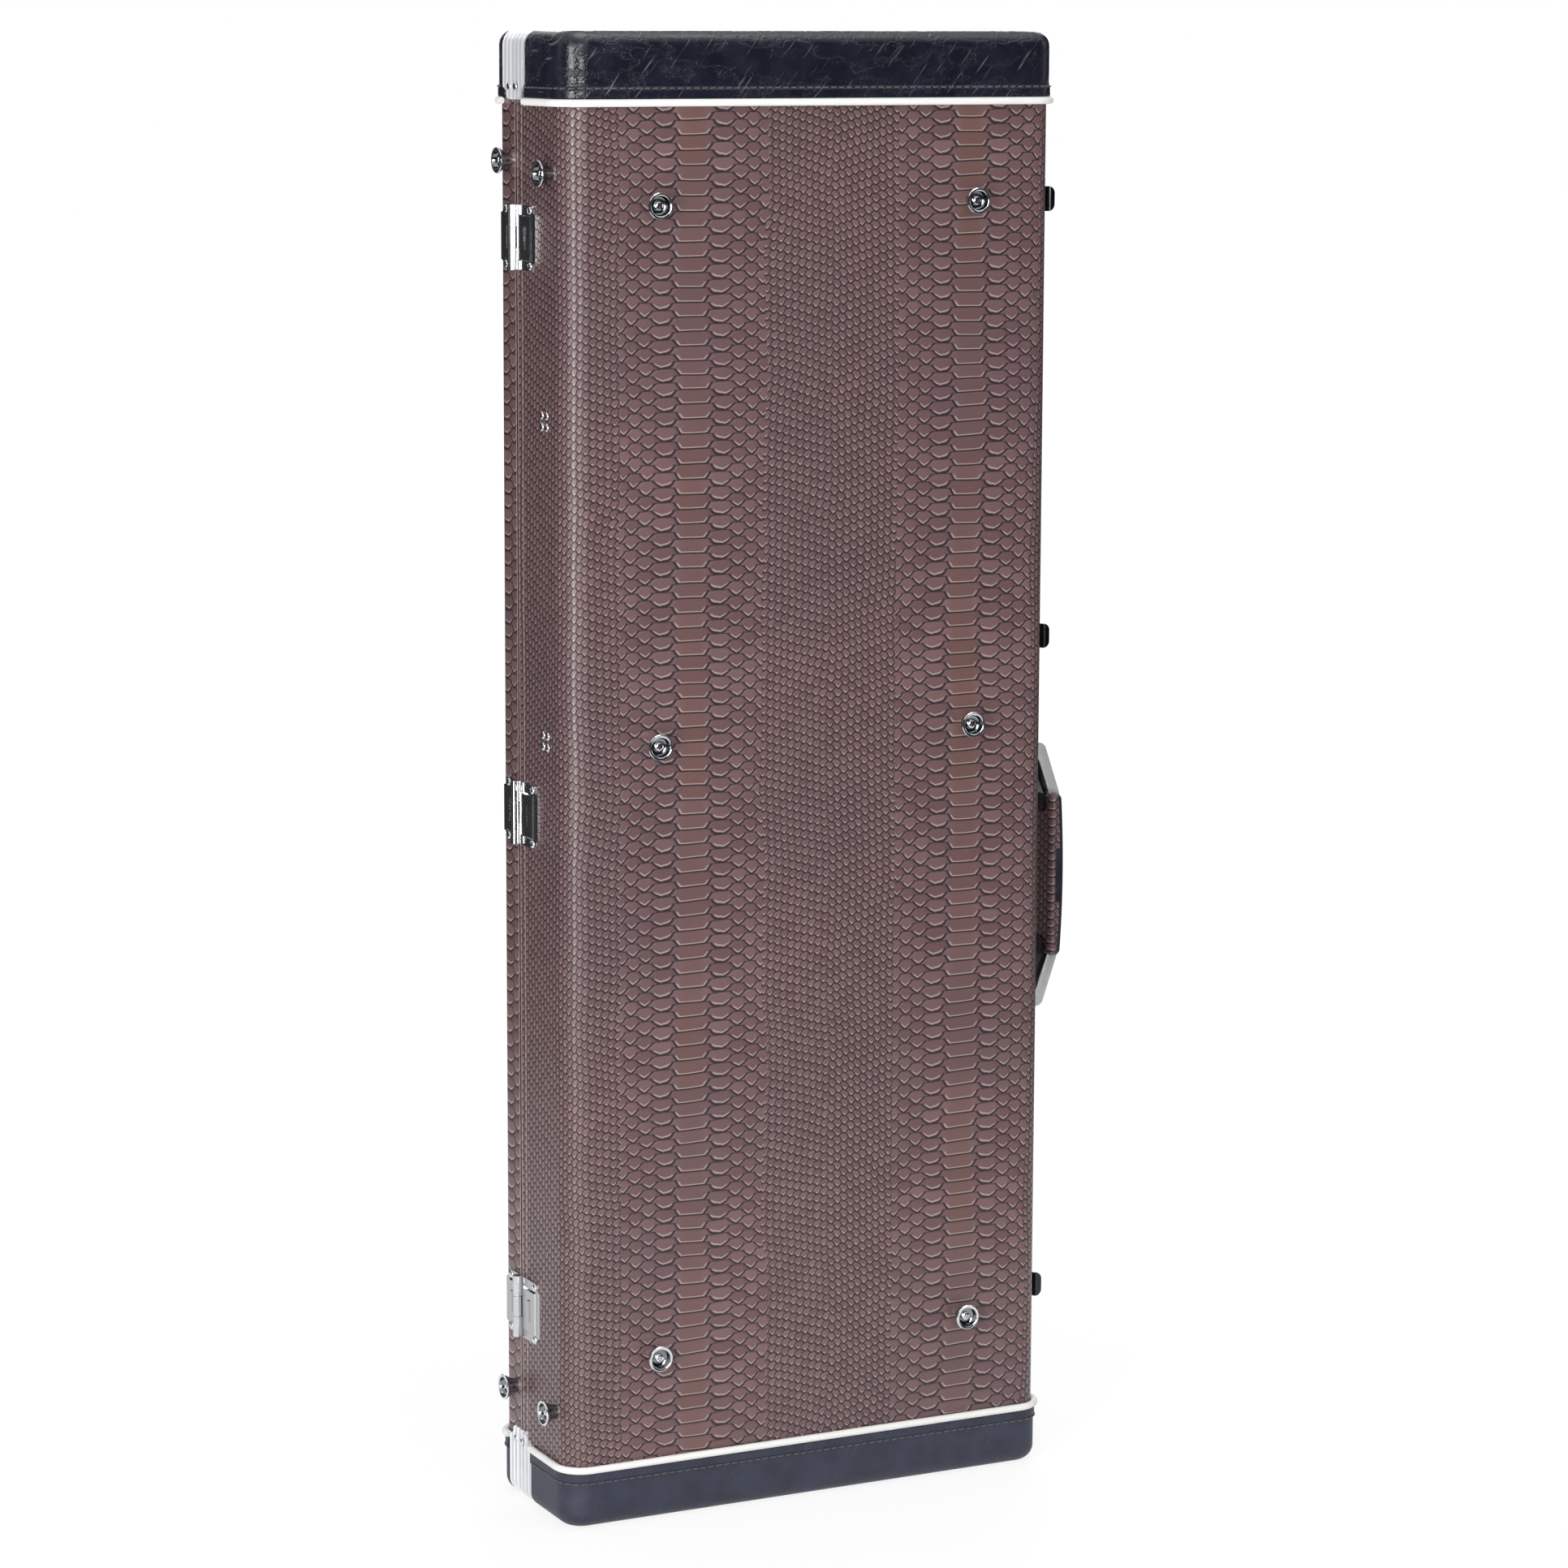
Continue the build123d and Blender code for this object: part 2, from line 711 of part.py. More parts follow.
def handle_strap(end):
    """End fitting: an eye round the bracket's pin and a slanting strap under the grip."""
    inner = handle_grip_outer - handle_grip_thickness
    eye_z = end * handle_pivot_from_middle
    grip_z = end * handle_grip_length / 2
    tuck_z = grip_z - end * handle_strap_overlap
    pivot = handle_pivot_height
    thick = handle_strap_thickness
    gap = handle_strap_gap
    top = inner - gap
    strap = Polyline(
        (top, tuck_z),
        (top, grip_z),
        (pivot + handle_eye_radius, eye_z),
        (pivot + handle_strap_root, eye_z),
        (top - thick, grip_z),
        (top - thick, tuck_z),
        close=True,
    )
    frame = handle_frame(handle_middle_z)
    body = frame * extrude(make_face(strap), handle_strap_width / 2, both=True)
    eye = Cylinder(handle_eye_radius, handle_eye_length)
    spot = (half_width + pivot, front_y + handle_from_front, handle_middle_z + eye_z)
    body += Pos(*spot) * eye
    tip = body.edges().filter_by(Axis.X)
    tip = [edge for edge in tip if abs(edge.center().Z - handle_middle_z - tuck_z) < smallest_radius]
    body = fillet(tip, handle_strap_tip_round)
    bore = handle_pin_radius + handle_pin_clearance
    return body - Pos(*spot) * Cylinder(bore, 2 * handle_eye_length)


def handle_bracket(end):
    """Bracket on the wall: a riveted plate with two ears that hold the handle's pin."""
    spot_z = handle_middle_z + end * handle_pivot_from_middle
    plate = rounded_plate(
        handle_bracket_width, handle_bracket_length, handle_bracket_sheet, handle_bracket_corner
    )
    body = on_wall("latch", front_y + handle_from_front, spot_z, plate)
    ear_low = handle_eye_length / 2 + handle_ear_gap
    outline = Pos(handle_pivot_height / 2, 0) * Rectangle(handle_pivot_height, 2 * handle_ear_radius)
    outline += Pos(handle_pivot_height, 0) * Circle(handle_ear_radius)
    outline -= Pos(handle_pivot_height, 0) * Circle(handle_pin_radius)
    ear = extrude(outline, handle_ear_thickness)
    corner = (half_width, front_y + handle_from_front, spot_z)
    body += Pos(*corner) * (Pos(0, 0, ear_low) * ear)
    body += Pos(*corner) * (Pos(0, 0, -ear_low - handle_ear_thickness) * ear)
    return body


def handle_pin(end):
    """Pin held in the ears of a bracket."""
    spot_z = handle_middle_z + end * handle_pivot_from_middle
    half = handle_eye_length / 2 + handle_ear_gap + handle_ear_thickness
    spot = (half_width + handle_pivot_height, front_y + handle_from_front, spot_z)
    return Pos(*spot) * Cylinder(handle_pin_radius, 2 * half)


def floor_pad():
    """Foam pad on the floor of the base, with drawn-in edges."""
    margin = inner_thickness + floor_pad_side_gap
    half = half_width - margin
    low_y = front_y + inner_thickness
    pad = block(
        -half,
        half,
        low_y,
        low_y + floor_pad_thickness,
        box_low_z + inner_thickness + pad_clearance,
        box_high_z - inner_thickness - pad_clearance,
    )
    return fillet(pad.faces().sort_by(Axis.Y)[-1].edges(), floor_pad_round)


def pad_top_y():
    """Level of the top of the floor pad."""
    return front_y + inner_thickness + floor_pad_thickness


def body_well():
    """Foam block with a well of a guitar body's outline, open towards the neck."""
    half = half_width - inner_thickness
    low_z = box_low_z + inner_thickness + pad_clearance
    high_z = cross_wall_rows[0] - cross_wall_thickness / 2
    lower = Pos(0, well_lower_z) * Circle(well_lower_radius)
    upper = Pos(0, well_upper_z) * Circle(well_upper_radius)
    waist_length = well_upper_z - well_lower_z
    waist = Pos(0, (well_upper_z + well_lower_z) / 2) * Rectangle(
        2 * well_waist_half_width, waist_length
    )
    slot_middle = (well_upper_z + high_z) / 2
    slot_length = high_z - well_upper_z + well_edge_margin
    slot = Pos(0, slot_middle) * Rectangle(2 * neck_notch_half_width, slot_length)
    outline = Pos(0, (low_z + high_z) / 2) * Rectangle(2 * half, high_z - low_z)
    outline -= lower + upper + waist + slot
    top_y = front_y + well_top_from_front
    body = Pos(0, top_y, 0) * extrude(Plane.XZ * outline, top_y - pad_top_y())
    rim = body.faces().sort_by(Axis.Y)[-1]
    low = low_z + well_edge_margin
    high = high_z - well_edge_margin
    inside = half - well_edge_margin
    well_edges = [edge for edge in rim.edges() if abs(edge.center().X) < inside]
    well_edges = [edge for edge in well_edges if low < edge.center().Z < high]
    return fillet(well_edges, well_top_round)


def neck_notch():
    """Cutter for the notch that lets the neck lie over a wall."""
    low_y = front_y + neck_notch_from_front
    high_y = back_y
    outline = Pos(0, (low_y + high_y) / 2) * Rectangle(2 * neck_notch_half_width, high_y - low_y)
    corners = outline.vertices().sort_by(Axis.Y)[:2]
    return extrude(fillet(corners, neck_notch_round), case_length)


def cross_wall(row):
    """Cross wall of the accessory box, standing on the floor pad with a notch for the neck."""
    half = half_width - inner_thickness
    body = block(
        -half,
        half,
        pad_top_y(),
        front_y + cross_wall_top_from_front,
        row - cross_wall_thickness / 2,
        row + cross_wall_thickness / 2,
    )
    return body - neck_notch()


def neck_cradle():
    """Padded cradle behind the upper cross wall, with a notch for the neck."""
    low_z = cross_wall_rows[1] + cross_wall_thickness / 2
    body = block(
        -cradle_half_width,
        cradle_half_width,
        pad_top_y(),
        front_y + cradle_top_from_front,
        low_z,
        low_z + cradle_length,
    )
    far = body.faces().sort_by(Axis.Z)[-1].edges().filter_by(Axis.Y)
    sides = fillet(far, cradle_round)
    return sides - neck_notch()


def lid_pad():
    """Foam pad under the lid, crowned towards the guitar."""
    half = half_width - inner_thickness - lid_pad_margin
    low_z = box_low_z + inner_thickness + lid_pad_margin
    high_z = box_high_z - inner_thickness - lid_pad_margin
    glued_y = back_y - inner_thickness
    edge_y = glued_y - lid_pad_thickness + lid_pad_crown
    outline = [
        Line((-half, glued_y), (half, glued_y)),
        Line((half, glued_y), (half, edge_y)),
        ThreePointArc((half, edge_y), (0, edge_y - lid_pad_crown), (-half, edge_y)),
        Line((-half, edge_y), (-half, glued_y)),
    ]
    body = Pos(0, 0, low_z) * extrude(make_face(Wire(outline)), high_z - low_z)
    soft_face = body.faces().sort_by(Axis.Y)[0]
    return fillet(soft_face.edges(), lid_pad_round)


os.makedirs("parts", exist_ok=True)

# Box halves and their dressing
for side in ("base", "lid"):
    covering, board, lining = wall_shapes(side)
    save(covering, side + "_covering")
    save(board, side + "_board")
    save(lining, side + "_lining")
    for end in ("top", "bottom"):
        save(cap(side, end), side + "_cap_" + end)
        save(piping(side, end), side + "_piping_" + end)
        save(strip(side, end), side + "_strip_" + end)

# Feet
across_spots = (-big_face_foot_x, big_face_foot_x)
base_spots = [("big_face", x, z) for z in big_face_foot_rows for x in across_spots]
base_spots += [("hinge", front_y + hinge_wall_foot_from_front, z) for z in hinge_wall_foot_rows]
lid_spots = [("hinge", seam_y + lid_foot_from_seam, z) for z in lid_foot_rows]
for side, spots in (("base", base_spots), ("lid", lid_spots)):
    save(group([on_wall(*spot, foot()) for spot in spots]), side + "_feet")
    save(group([on_wall(*spot, foot_screw()) for spot in spots]), side + "_foot_screws")

# Hinges
base_rivets = []
lid_rivets = []
pins = []
for name, row in zip(hinge_names, hinge_rows):
    for side, rivets in (("base", base_rivets), ("lid", lid_rivets)):
        save(place_hinge(side, row, hinge_part(side)), "hinge_" + name + "_" + side + "_leaf")
        rivets += [place_hinge(side, row, head) for head in hinge_rivets(side)]
    pins.append(Pos(hinge_axis_x, seam_y, row) * Cylinder(hinge_pin_radius, hinge_height))
save(group(pins), "hinge_pins")

# Latches
pivot_pins = []
for name, row in zip(latch_names, latch_rows):
    save(in_latch(row, latch_plate()), "latch_" + name + "_plate")
    save(in_latch(row, latch_lever()), "latch_" + name + "_lever")
    save(in_latch(row, latch_claw()), "latch_" + name + "_claw")
    save(in_latch(row, latch_claw_pin()), "latch_" + name + "_claw_pin")
    save(in_latch(row, latch_strike()), "latch_" + name + "_strike")
    pivot_pins.append(in_latch(row, latch_pivot_pin()))
    plate_rivet = latch_plate_width / 2 - rivet_radius - latch_side_clearance
    for end in (-1, 1):
        for spot in (latch_plate_start + latch_rivet_inset, latch_plate_end - latch_rivet_inset):
            base_rivets.append(latch_wall_rivet(spot, row + end * plate_rivet, latch_sheet))
        spot = strike_end - strike_rivet_from_end
        lid_rivets.append(latch_wall_rivet(spot, row + end * strike_rivet_from_middle, latch_sheet))
save(group(pivot_pins), "latch_pivot_pins")

# Handle
save(handle_grip(), "handle_grip")
handle_pins = []
for name, end in (("upper", 1), ("lower", -1)):
    save(handle_strap(end), "handle_" + name + "_strap")
    save(handle_bracket(end), "handle_" + name + "_bracket")
    handle_pins.append(handle_pin(end))
    row = handle_middle_z + end * handle_pivot_from_middle
    for across in (-1, 1):
        for along in (-1, 1):
            spot = handle_from_front + across * handle_bracket_rivet_across
            level = row + along * handle_bracket_rivet_along
            base_rivets.append(latch_wall_rivet(spot, level, handle_bracket_sheet))
save(group(handle_pins), "handle_pins")

# Padding, inner walls and the rivets that hold them
save(floor_pad(), "floor_pad")
save(body_well(), "body_well_pad")
save(neck_cradle(), "neck_cradle")
save(lid_pad(), "lid_pad")
offset = partition_rivet_spacing / 2
for name, row in zip(cross_wall_names, cross_wall_rows):
    save(cross_wall(row), "cross_wall_" + name)
    for wall in ("hinge", "latch"):
        for across in (-offset, offset):
            for along in (-offset, offset):
                y = front_y + partition_rivet_from_front + across
                base_rivets.append(on_wall(wall, y, row + along, rivet()))

# Nails at the ends of the seam strips
for side, rivets in (("base", base_rivets), ("lid", lid_rivets)):
    inward = -1 if side == "base" else 1
    y = seam_y + inward * strip_nail_from_seam
    low = strip_reach_bottom - strip_nail_from_end
    high = case_length - strip_reach_top + strip_nail_from_end
    for wall in ("hinge", "latch"):
        for level in (low, high):
            nail = Pos(0, 0, strip_thickness + strip_ridge_height) * rivet()
            rivets.append(on_wall(wall, y, level, nail))
save(group(base_rivets), "base_rivets")
save(group(lid_rivets), "lid_rivets")
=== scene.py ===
import math

import bmesh
import bpy
from bpy.props import FloatProperty, FloatVectorProperty, PointerProperty
from mathutils import Matrix, Vector


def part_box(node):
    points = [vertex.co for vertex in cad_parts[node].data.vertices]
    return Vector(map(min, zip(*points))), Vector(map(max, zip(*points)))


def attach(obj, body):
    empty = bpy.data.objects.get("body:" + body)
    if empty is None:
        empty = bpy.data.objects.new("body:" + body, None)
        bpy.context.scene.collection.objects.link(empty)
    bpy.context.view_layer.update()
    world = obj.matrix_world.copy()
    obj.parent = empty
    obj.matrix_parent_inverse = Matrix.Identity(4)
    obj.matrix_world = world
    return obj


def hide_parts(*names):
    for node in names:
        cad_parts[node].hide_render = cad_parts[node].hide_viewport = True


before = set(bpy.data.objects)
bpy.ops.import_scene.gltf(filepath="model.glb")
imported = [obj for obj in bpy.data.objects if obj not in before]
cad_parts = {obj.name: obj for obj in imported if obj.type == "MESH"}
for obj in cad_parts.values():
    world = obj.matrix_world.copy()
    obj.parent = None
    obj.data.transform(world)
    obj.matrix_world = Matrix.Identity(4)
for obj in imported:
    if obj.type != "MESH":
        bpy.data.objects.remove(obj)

bl_info = {
    "name": "Electric guitar case",
    "version": (1, 0, 0),
    "blender": (4, 5, 0),
    "location": "View3D > Sidebar > Guitar case",
    "description": "Finishes the packed guitar case: vinyl, leather, hardware, padding and studio",
    "category": "Object",
}

# Faces of the two halves, read from the frame
base_low, base_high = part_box("base_covering")
lid_low, lid_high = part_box("lid_covering")
hinge_wall = base_low.x
latch_wall = base_high.x
front = base_low.y
back = lid_high.y
seam = (base_high.y + lid_low.y) / 2

HALVES = ("base", "lid")
ENDS = ("top", "bottom")
ROWS = ("bottom", "middle", "top")

# Lengths are in metres.
# Rounding of the walls, as in the frame's shells, and the caps' height over them
BASE_ROUND = 0.017
LID_ROUND = 0.013
CAP_OUT = 0.0029
OFF_WALL = 0.0004

# Stitches of the caps' hems
STITCH_FROM_HEM = 0.0072
STITCH_RADIUS = 0.0006
STITCH_SHARE = 0.66
STITCH_LEAN = 0.06

# Embossing of the vinyl
SWAY = 0.014
BELLY_REACH = 0.12
COLUMN_COUNT = 6.0
COLUMN_ENDS_MM = ((23.5, 0.5), (35.5, 1.0), (45.5, 1.5), (54, 2.0), (61.5, 2.5), (76, 3.5))
SCALE_OUTPUTS = ("Crown", "Lift", "Rim", "Tone")
LARGE_SCALES = {"Lean": 0.3, "Groove": 0.15}
SMALL_SCALES = {"Width": 1.5, "Lean": 0.3, "Groove": 0.23}
SMALL_SLANT = 0.28
SMALL_FROM, SMALL_FULL = 0.0555, 0.0565
LID_BELLY_INSET = 0.048
# Distances from the seam of the painted fold highlights
BASE_FOLD_HIGHLIGHTS = (0.0019, 0.0095)
LID_FOLD_HIGHLIGHTS = (0.0019,)
DARK_SCALE = (0.72, 0.66, 0.66)
BELLY_HEART = (0.14, 0.07, 0.054)
VINYL_CLOUD = (0.108, 0.063, 0.072)

# Name, colour, roughness, haze and further settings of each metal
METALS = (
    ("chrome", (0.82, 0.83, 0.85), 0.05, 0.06, {}),
    # dish_shade: darker chrome as a painted dark reflection in the feet's dishes and under their bells
    ("dish_shade", (0.3, 0.31, 0.33), 0.08, 0.05, {}),
    ("nickel", (0.72, 0.72, 0.72), 0.12, 0.08, {}),
    # hinge_nickel: painted dark reflection on its flat panels
    ("hinge_nickel", (0.82, 0.83, 0.84), 0.1, 0.06, {"panels": (0.5, 0.5, 0.51)}),
    ("bright_strip", (0.68, 0.69, 0.72), 0.3, 0.06, {"metallic": 0.5, "ribs": True}),
    ("satin_strap", (0.62, 0.64, 0.62), 0.45, 0.1, {"metallic": 0.4}),
    # dark nickel for the latch levers, and as painted shade on the handle's straps and the insides of the grip's side
    # plates
    ("dark_nickel_and_painted_shade", (0.06, 0.06, 0.068), 0.2, 0.1, {}),
)
# Ribs of the seam strips: their pitch, the painted shade in their valleys and the painted highlight on their crests
RIB_PITCH = 0.00655
RIB_SHADE = 0.35
RIB_CREST_HIGHLIGHT = (0.95, 0.95, 0.97)

# Turned hardware: radius and height of each ring, from the wall outward
FOOT_OUTLINE = (
    (0.0050, 0.0), (0.0050, 0.0010), (0.0052, 0.0025), (0.0056, 0.0042), (0.0062, 0.0058), (0.0070, 0.0073),
    (0.0079, 0.0087), (0.0088, 0.0099), (0.0092, 0.0105), (0.0092, 0.0110), (0.0088, 0.0115), (0.0078, 0.0115),
    (0.0072, 0.0111), (0.0068, 0.0094), (0.0061, 0.0080), (0.0048, 0.0073), (0.0036, 0.0072),
)
# Dish of the feet that gets the painted dark reflection
DISH_INNER, DISH_OUTER, DISH_FLOOR = 0.0036, 0.0071, 0.0071
SCREW_SEAT = 0.0073
SCREW_OUTLINE = (
    (0.0021, 0.0), (0.0021, SCREW_SEAT), (0.0034, SCREW_SEAT), (0.0035, SCREW_SEAT + 0.0006),
    (0.0031, SCREW_SEAT + 0.0012), (0.0023, SCREW_SEAT + 0.0016), (0.0010, SCREW_SEAT + 0.0018),
)
CROSS_LONG, CROSS_NARROW, CROSS_DEEP = 0.0038, 0.0009, 0.0018
CROSS_LEVEL = SCREW_SEAT + 0.0016
RIVET_OUTLINE = (
    (0.0028, 0.0), (0.00285, 0.0002), (0.0026, 0.0006), (0.0021, 0.001), (0.0014, 0.00125), (0.0006, 0.0013),
)

# Grip and the side plates on its ends, whose outline is outward from the wall and along from the grip's middle
GRIP_BEVEL = 0.0042
GRIP_BANDS = 12
GRIP_BOW = 0.0022
GRIP_EDGE = 0.004
FERRULE_OUTLINE = (
    (0.0085, 0.0935), (0.0085, 0.0985), (0.0105, 0.1008), (0.0210, 0.0990), (0.0238, 0.0965), (0.0362, 0.0605),
    (0.0358, 0.0572), (0.0335, 0.0555), (0.0302, 0.0562), (0.0283, 0.0582), (0.0186, 0.0860), (0.0160, 0.0900),
)
FERRULE_THICKNESS = 0.0012
FERRULE_BEVEL = 0.0004

# Padding
FINE_VOXEL_SHARE = 0.7
PAD_SHRINK = 0.0012
PAD_SWELL = 0.0016
PAD_PRESSURE = 4.0
PAD_FRAMES = 20

# Studio: soft lights as name, place, size and power, and what only mirrors see
LIGHT_TARGET = Vector((0, 0, 0.52))
LIGHTS = (
    ("key", (-1.7, -1.5, 0.75), (0.6, 1.7), 35),
    ("fill", (-0.5, -3.8, 1.3), (1.2, 1.6), 24),
    ("top", (0.2, -0.4, 3.4), (1.8, 1.8), 30),
    ("rim", (1.5, 2.6, 1.4), (1.6, 1.6), 40),
)
FLOOR_SIZE = 40
FLOOR_GLOW = 1.05
PANEL_COUNT = 4.0
PANEL_TURN = 0.873
PANEL_POWER = 0.9
SLIT_WAY = (-0.1736, -0.9848)
SLIT_POWER = 12.0
SOFT_COLOUR = (0.94, 0.96, 1.0)
SOFT_POWER = 0.5
MIRRORED_DARK = (0.025, 0.03, 0.04)
WHITE = (1.0, 1.0, 1.0, 1.0)

# Camera fitted to the photograph's view
CAMERA_PLACE = Vector((-1.4716, -2.9743, 1.0718))
CAMERA_YAW = math.radians(26.423)
CAMERA_PITCH = math.radians(-8.737)
CAMERA_ROLL = math.radians(0.216)
CAMERA_LENS = 106.90
CAMERA_SENSOR = 36.0
CAMERA_SHIFT = -0.04


class CaseSettings(bpy.types.PropertyGroup):
    """Sizes and colours that a user would change."""

    vinyl_colour: FloatVectorProperty(
        name="Vinyl colour", description="Raised part of the embossed scales",
        default=(0.175, 0.096, 0.097), subtype="COLOR", size=3, min=0, max=1)
    # Painted shade in the valleys between the scales and along the seam
    groove_shade_colour: FloatVectorProperty(
        name="Groove colour", description="Valleys between the scales",
        default=(0.012, 0.006, 0.01), subtype="COLOR", size=3, min=0, max=1)
    # Painted highlight along the lower rims of the scales and on the folds beside the seam
    rim_highlight_colour: FloatVectorProperty(
        name="Rim colour", description="Highlighted lower rims of the scales",
        default=(0.48, 0.35, 0.32), subtype="COLOR", size=3, min=0, max=1)
    leather_colour: FloatVectorProperty(
        name="Leather colour", description="Glossy leather of the end caps",
        default=(0.0075, 0.0085, 0.0155), subtype="COLOR", size=3, min=0, max=1)
    piping_colour: FloatVectorProperty(
        name="Piping colour", description="Welt along the hems of the caps",
        default=(0.95, 0.955, 0.96), subtype="COLOR", size=3, min=0, max=1)
    row_height: FloatProperty(
        name="Belly row height", description="Height of one belly plate of the embossing",
        default=0.0103, unit="LENGTH", min=0.004, max=0.03)
    small_row_height: FloatProperty(
        name="Small row height", description="Height of one small scale of the embossing",
        default=0.0063, unit="LENGTH", min=0.003, max=0.02)
    small_column_width: FloatProperty(
        name="Small column width", description="Width of two columns of small scales",
        default=0.0106, unit="LENGTH", min=0.006, max=0.04)
    left_belly: FloatProperty(
        name="Left belly line", description="Place across the base of the first row of belly plates",
        default=-0.094, unit="LENGTH")
    right_belly: FloatProperty(
        name="Right belly line", description="Place across the base of the second row",
        default=0.122, unit="LENGTH")
    stitch_pitch: FloatProperty(
        name="Stitch pitch", description="Distance from one stitch of a cap's hem to the next",
        default=0.0062, unit="LENGTH", min=0.002, max=0.02)
    pad_voxel: FloatProperty(
        name="Padding mesh size", description="Voxel size of the padding before it is inflated",
        default=0.006, unit="LENGTH", min=0.004, max=0.02)


# Node helpers


def add(tree, kind, inputs=None, **settings):
    """Add a shader node, set its properties, and link or set its inputs."""
    made = tree.nodes.new("ShaderNode" + kind)
    for key, value in settings.items():
        setattr(made, key, value)
    for key, value in (inputs or {}).items():
        if isinstance(value, bpy.types.NodeSocket):
            tree.links.new(value, made.inputs[key])
        else:
            made.inputs[key].default_value = value
    return made


def maths(tree, operation, *values):
    """Result of one Math node."""
    return add(tree, "Math", dict(enumerate(values)), operation=operation).outputs[0]


def gap(tree, first, second):
    """Distance between two values."""
    return maths(tree, "ABSOLUTE", maths(tree, "SUBTRACT", first, second))


def ramp(tree, value, low, high, to_low=0.0, to_high=1.0, kind="SMOOTHSTEP"):
    """Value carried from one range to another."""
    inputs = {"Value": value, "From Min": low, "From Max": high, "To Min": to_low, "To Max": to_high}
    return add(tree, "MapRange", inputs, interpolation_type=kind).outputs[0]


def mixed(tree, factor, first, second, blend="MIX"):
    """Mix of two colours."""
    made = add(tree, "Mix", {0: factor, 6: first, 7: second}, data_type="RGBA", blend_type=blend)
    return made.outputs[2]


def noise(tree, vector, scale, detail=4.0, roughness=0.5):
    """Noise value at a vector."""
    inputs = {"Vector": vector, "Scale": scale, "Detail": detail, "Roughness": roughness}
    return add(tree, "TexNoise", inputs).outputs[0]


def place(tree):
    """Object coordinates of the surface."""
    return add(tree, "TexCoord").outputs["Object"]


def parts(tree, vector):
    """The three parts of a vector."""
    return add(tree, "SeparateXYZ", {0: vector}).outputs


def opaque(colour):
    """Colour with full alpha."""
    return (*colour, 1.0)


def new_group(name, inputs, outputs):
    """Empty node group with named value or colour sockets."""
    tree = bpy.data.node_groups.new(name, "ShaderNodeTree")
    for label, kind in inputs:
        tree.interface.new_socket(label, in_out="INPUT", socket_type="NodeSocket" + kind)
    for label, kind in outputs:
        tree.interface.new_socket(label, in_out="OUTPUT", socket_type="NodeSocket" + kind)
    return tree, tree.nodes.new("NodeGroupInput").outputs, tree.nodes.new("NodeGroupOutput").inputs


def use_group(tree, name, inputs):
    """Place a node group in a tree and give its outputs."""
    return add(tree, "Group", inputs, node_tree=bpy.data.node_groups[name]).outputs


def build_scale_group():
    """Group 'scales': rounded hexagonal scales in offset columns, with groove, lift, lower rim and tone."""
    inputs = [(label, "Float") for label in ("Across", "Along", "Width", "Lean", "Groove")]
    outputs = [(label, "Float") for label in SCALE_OUTPUTS]
    tree, source, sink = new_group("scales", inputs, outputs)
    distances = []
    heights = []
    cells = []
    for shift in (0.0, 0.5):
        across = maths(tree, "ADD", source["Across"], shift)
        along = maths(tree, "ADD", source["Along"], shift)
        column = maths(tree, "ROUND", across)
        row = maths(tree, "ROUND", along)
        aside = maths(tree, "MULTIPLY", maths(tree, "SUBTRACT", across, column), source["Width"])
        up = maths(tree, "SUBTRACT", along, row)
        squares = maths(tree, "ADD", maths(tree, "MULTIPLY", aside, aside), maths(tree, "MULTIPLY", up, up))
        lean = maths(tree, "MULTIPLY", up, source["Lean"])
        distances.append(maths(tree, "SUBTRACT", maths(tree, "SQRT", squares), lean))
        heights.append(up)
        cells.append(add(tree, "CombineXYZ", {0: column, 1: row, 2: shift}).outputs[0])
    nearest = maths(tree, "LESS_THAN", distances[0], distances[1])
    up = add(tree, "Mix", {0: nearest, 2: heights[1], 3: heights[0]}).outputs[0]
    sides = gap(tree, distances[1], distances[0])
    ends = maths(tree, "SUBTRACT", 1.0, maths(tree, "MULTIPLY", maths(tree, "ABSOLUTE", up), 2.0))
    edge = add(tree, "Math", {0: sides, 1: ends, 2: 0.12}, operation="SMOOTH_MIN").outputs[0]
    inset = maths(tree, "DIVIDE", edge, source["Groove"])
    crown = maths(tree, "POWER", maths(tree, "MINIMUM", inset, 1.0), 2.0)
    # Rim: lower band of each scale, where the vinyl gets a painted highlight and more coat
    lower = ramp(tree, up, -0.02, -0.2)
    band = maths(tree, "MULTIPLY", ramp(tree, inset, 0.6, 1.1), ramp(tree, inset, 2.0, 1.4))
    cell = add(tree, "Mix", {0: nearest, 4: cells[1], 5: cells[0]}, data_type="VECTOR").outputs[1]
    tone = add(tree, "TexWhiteNoise", {"Vector": cell}, noise_dimensions="3D").outputs["Value"]
    tilt = maths(tree, "MULTIPLY", up, -0.5)
    dome = ramp(tree, edge, 0.0, 0.4)
    tree.links.new(crown, sink["Crown"])
    tree.links.new(maths(tree, "ADD", dome, maths(tree, "MULTIPLY", tilt, crown)), sink["Lift"])
    tree.links.new(maths(tree, "MULTIPLY", lower, band), sink["Rim"])
    tree.links.new(tone, sink["Tone"])


